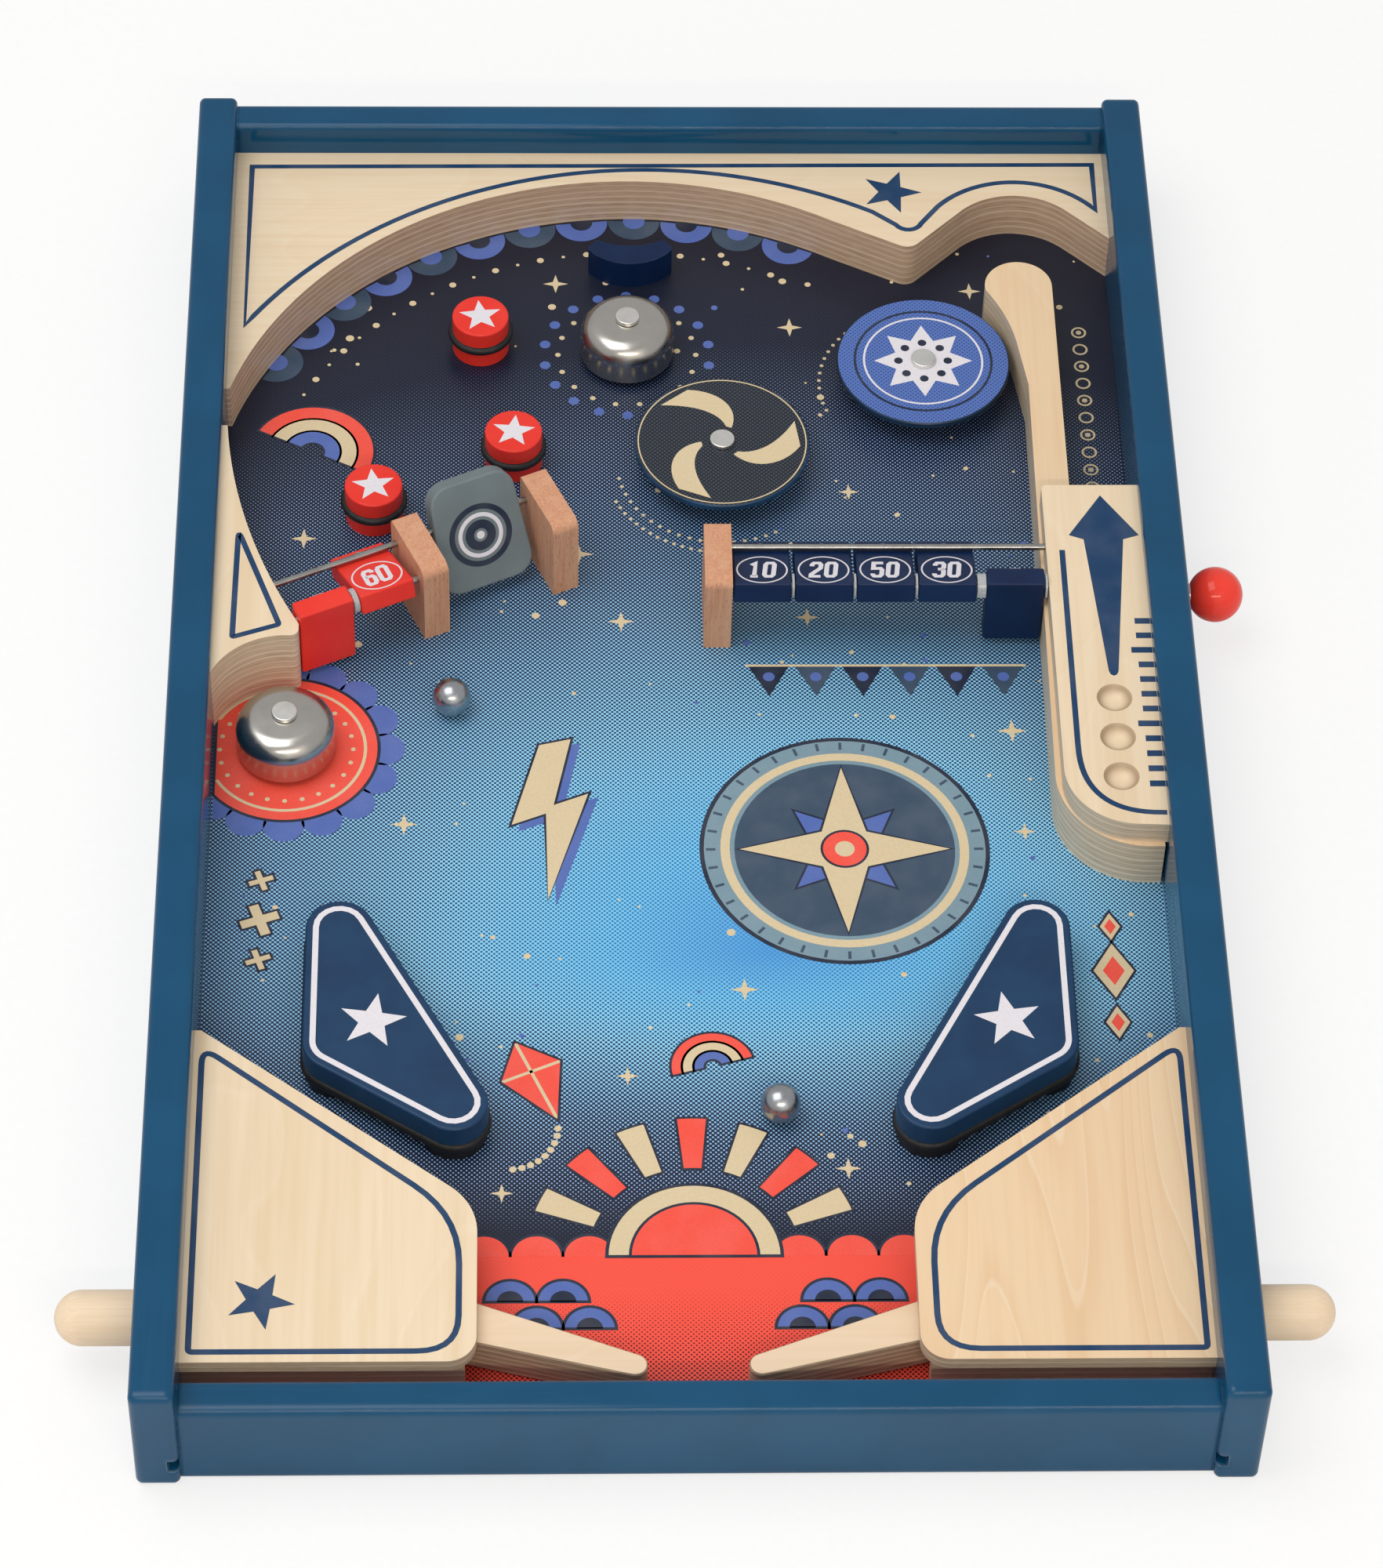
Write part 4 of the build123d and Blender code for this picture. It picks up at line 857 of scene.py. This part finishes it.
# Diamonds down the right lane and plus signs down the left one
laneMarks = dict(
    diamond=((0, 1), (-0.6, 0), (0, -1), (0.6, 0)), heart=0.5,
    diamonds=((152, -84, 7), (152, -104, 13), (152, -127, 8)),
    plus=((-0.3, 1), (-0.3, 0.3), (-1, 0.3), (-1, -0.3), (-0.3, -0.3), (-0.3, -1), (0.3, -1), (0.3, -0.3),
        (1, -0.3), (1, 0.3), (0.3, 0.3), (0.3, 1)), plusTurn=20,
    pluses=((-153, -62, 5), (-153, -80, 7.5), (-153, -98, 5)))
for x, y, size in laneMarks["diamonds"]:
    layEdged(1, "creamInk", [placed(laneMarks["diamond"], x, y, size)])
    lay(3, "redInk", [placed(laneMarks["diamond"], x, y, size * laneMarks["heart"])])
for x, y, size in laneMarks["pluses"]:
    layEdged(1, "creamInk", [placed(laneMarks["plus"], x, y, size, laneMarks["plusTurn"])])

# Pennants on a cord in front of the score tiles
flags = dict(cord=40, line=1, start=24, wide=17.5, gap=1, drop=15, count=6, dot=2.2, dotDrop=5.5)
high, wide = flags["cord"], flags["wide"]
cord = [(flags["start"] + wide * k, high) for k in (0, flags["count"])]
lay(3, "creamInk", [], [(cord, flags["line"], False)])
for k in range(flags["count"]):
    left = flags["start"] + wide * k
    flag = [(left + flags["gap"], high), (left + wide / 2, high - flags["drop"]),
            (left + wide - flags["gap"], high)]
    lay(1, "nightInk" if k % 2 == 0 else "deepInk", [flag])
    lay(2, "periInk", [circle(left + wide / 2, high - flags["dotDrop"], flags["dot"], 16)])

# Dotted orbits beside the spinners
orbits = dict(
    arcs=(("left", 40, 190, 300), ("right", 40, 95, 200), ("left", 45, 205, 285)), dots=18,
    dot=0.75)
for tag, *sweep in orbits["arcs"]:
    lay(1, "creamInk", dotsOn(arc(*discArt[tag], *sweep, orbits["dots"]), orbits["dot"], 10))

# Kite beside the left slingshot, with a tail of dots
kite = dict(
    shape=((0, 1), (-0.62, 0.25), (0, -1), (0.62, 0.25)), centre=(-54, -152), size=19,
    turn=24, line=1.2, barShare=0.94, tail=(-64, -172.5, 17.5), bend=(0, -84), dots=8, dot=1.3)
x, y = kite["centre"]
layEdged(1, "redInk", [placed(kite["shape"], x, y, kite["size"], kite["turn"])])
for k in (0, 1):
    bar = placed(kite["shape"][k::2], x, y, kite["size"] * kite["barShare"], kite["turn"])
    lay(2, "creamInk", [], [(bar, kite["line"], False)])
lay(1, "creamInk", dotsOn(arc(*kite["tail"], *kite["bend"], kite["dots"]), kite["dot"]))

# Rising sun behind the red ground, with waves on either side of it
sun = dict(
    centre=(0, -226), sink=0.5, disc=30, discLine=1.2, heart=22, heartLine=1, rays=7,
    ray=(36, 58), spread=132, share=0.5, scallop=9, scallops=9, scallopLine=1,
    waves=(-63, -45, 45, 63), wave=9, waveLine=1.1, waveTop=8, waveDrop=11,
    waveHeart=0.5)
x, y = sun["centre"]
fan = sun["spread"] / (sun["rays"] - 1)
width = fan * sun["share"]
starts = [90.0 - sun["spread"] / 2 + fan * k - width / 2 for k in range(sun["rays"])]
rays = [wedge(x, y, *sun["ray"], start, start + width) for start in starts]
layEdged(1, "creamInk", rays[0::2])
layEdged(1, "redInk", rays[1::2])
ground = y - sun["sink"]
for k in range(sun["scallops"]):
    left = x + (k - (sun["scallops"] - 1) / 2) * 2 * sun["scallop"]
    scallop = arc(left, ground, sun["scallop"], 0, 180)
    lay(1, "redInk", [scallop])
    lay(2, "nightInk", [], [(scallop, sun["scallopLine"], False)])
layEdged(3, "creamInk", [arc(x, ground, sun["disc"], 0, 180, 32)], sun["discLine"])
layEdged(5, "redInk", [arc(x, ground, sun["heart"], 0, 180, 28)], sun["heartLine"])
for row in (0, 1):
    for wave in sun["waves"]:
        middle = wave + sun["wave"] * row * (1 if wave < 0 else -1)
        low = y - sun["waveTop"] - sun["waveDrop"] * (row + 1)
        layEdged(1 + 2 * row, "periInk", [arc(middle, low, sun["wave"], 0, 180)], sun["waveLine"])
        lay(2 + 2 * row, "nightInk", [arc(middle, low, sun["wave"] * sun["waveHeart"], 0, 180)])

# Sparkles, and dots scattered over the sky
sparkles = dict(
    waist=0.3,
    spots=((46, 216, 5), (66, 128, 4), (-38, 96, 6), (122, 8, 5.5),
        (-142, 104, 5), (-102, -36, 5), (118, 236, 4.5), (-46, 240, 5),
        (48, 64, 4.5), (-22, 62, 5), (20, -112, 5), (-22, -150, 4),
        (54, -190, 4.5), (-66, -200, 4), (124, -40, 4)))
for x, y, size in sparkles["spots"]:
    lay(1, "creamInk", [starPoints(x, y, size, size * sparkles["waist"], 4)])
scatter = dict(
    seed=7, count=200, half=168, front=-206, back=284, small=0.5, large=1.7, blueEach=5,
    clear=((58, -48, 56), (-145.6, -0.4, 47), (0, -226, 62), (-48, -34, 30),
        (-140, 149, 27), (160, 115, 18), (160, 145, 18), (160, 175, 18),
        (160, 205, 18)))
chance = random.Random(scatter["seed"])
for k in range(scatter["count"]):
    x = chance.uniform(-scatter["half"], scatter["half"])
    y = chance.uniform(scatter["front"], scatter["back"])
    size = scatter["small"] + (scatter["large"] - scatter["small"]) * chance.random() ** 2
    if all(math.hypot(x - u, y - v) >= room for u, v, room in scatter["clear"]):
        lay(0, "creamInk" if k % scatter["blueEach"] else "periInk", [circle(x, y, size, 12)])

for (layer, finish), (fills, lines) in sorted(coats.items()):
    flatPiece(f"board_print_{layer}_{finish}", finish, "case", boardTop, fills, lines,
              thick=coatThick + coatStep * layer)
print("board printed:", len(coats), "coats")

# Camera, turned to the photograph's viewing angle
view = dict(
    spot=(-0.05237, -1.27848, 1.54061), turn=(0.6909, -0.02032, -0.01926), lens=124.15, sensor=36.0, far=20.0)
camera = bpy.data.objects.new("camera", bpy.data.cameras.new("camera"))
camera.location = view["spot"]
camera.rotation_euler = view["turn"]
camera.data.lens = view["lens"]
camera.data.sensor_width = view["sensor"]
camera.data.clip_end = view["far"]
scene.collection.objects.link(camera)
scene.camera = camera

# White studio paper: the camera sees part of it as plain white, so that it fades into the
# background but keeps the shadow.
studio = dict(
    floor=9.0, paper=("F4F4F4", "F9F9F9"), fibre=3.0, floorShow=0.66, glow=1.05, white="FFFFFF", world=0.5,
    mirrorWorld=0.55)
half = studio["floor"]
floor = bpy.data.meshes.new("floor")
corners = [(-half, -half, 0), (half, -half, 0), (half, half, 0), (-half, half, 0)]
floor.from_pydata(corners, [], [(0, 1, 2, 3)])
floorPiece = bpy.data.objects.new("floor", floor)
scene.collection.objects.link(floorPiece)
paper, place = startMaterial("studioPaper")
tree = paper.node_tree
dull, pale = studio["paper"]
fibre = mottle(place, studio["fibre"])
sheet = addNode(tree, "Mix", {0: fibre, 6: dull, 7: pale}, out=2, data_type="RGBA")
matt = addNode(tree, "BsdfDiffuse", {"Color": sheet})
glow = addNode(tree, "Emission", {"Color": studio["white"], "Strength": studio["glow"]})
rays = addNode(tree, "LightPath").node.outputs
shown = addNode(tree, "Math", {0: rays["Is Camera Ray"], 1: studio["floorShow"]}, operation="MULTIPLY")
both = addNode(tree, "MixShader", {0: shown, 1: matt, 2: glow})
addNode(tree, "OutputMaterial", {"Surface": both})
floor.materials.append(paper)

# The world lights softly, is white to the camera and a little greyer in reflections
world = bpy.data.worlds.new("studio")
scene.world = world
world.use_nodes = True
tree = world.node_tree
tree.nodes.clear()
rays = addNode(tree, "LightPath").node.outputs
strength = studio["world"]
shows = {"Is Glossy Ray": studio["mirrorWorld"], "Is Transmission Ray": 1.0, "Is Camera Ray": 1.0}
for kind, level in shows.items():
    strength = addNode(tree, "Mix", {0: rays[kind], 2: strength, 3: level}, data_type="FLOAT")
sky = addNode(tree, "Background", {"Color": studio["white"], "Strength": strength})
addNode(tree, "OutputWorld", {"Surface": sky})

# Soft boxes: the strip is long and narrow, and draws a bright line along the glossy edges
lamps = {
    "key": dict(power=10.0, size=(1.1, 1.1), spot=(-0.55, -0.05, 1.55), colour="FFFFFF"),
    "fill": dict(power=5.0, size=(2.0, 2.0), spot=(0.7, -1.9, 1.5), colour="FFF6E8"),
    "strip": dict(power=11.0, size=(1.6, 0.09), spot=(0.05, -1.75, 1.55), colour="FFF3E0"),
}
for name, look in lamps.items():
    lamp = bpy.data.lights.new(name, "AREA")
    lamp.shape = "RECTANGLE"
    lamp.size, lamp.size_y = look["size"]
    lamp.energy = look["power"]
    lamp.color = linearColour(look["colour"])[:3]
    lampPiece = bpy.data.objects.new(name, lamp)
    lampPiece.location = look["spot"]
    lampPiece.rotation_euler = (-Vector(look["spot"])).to_track_quat("-Z", "Y").to_euler()
    scene.collection.objects.link(lampPiece)
print("camera and light set")
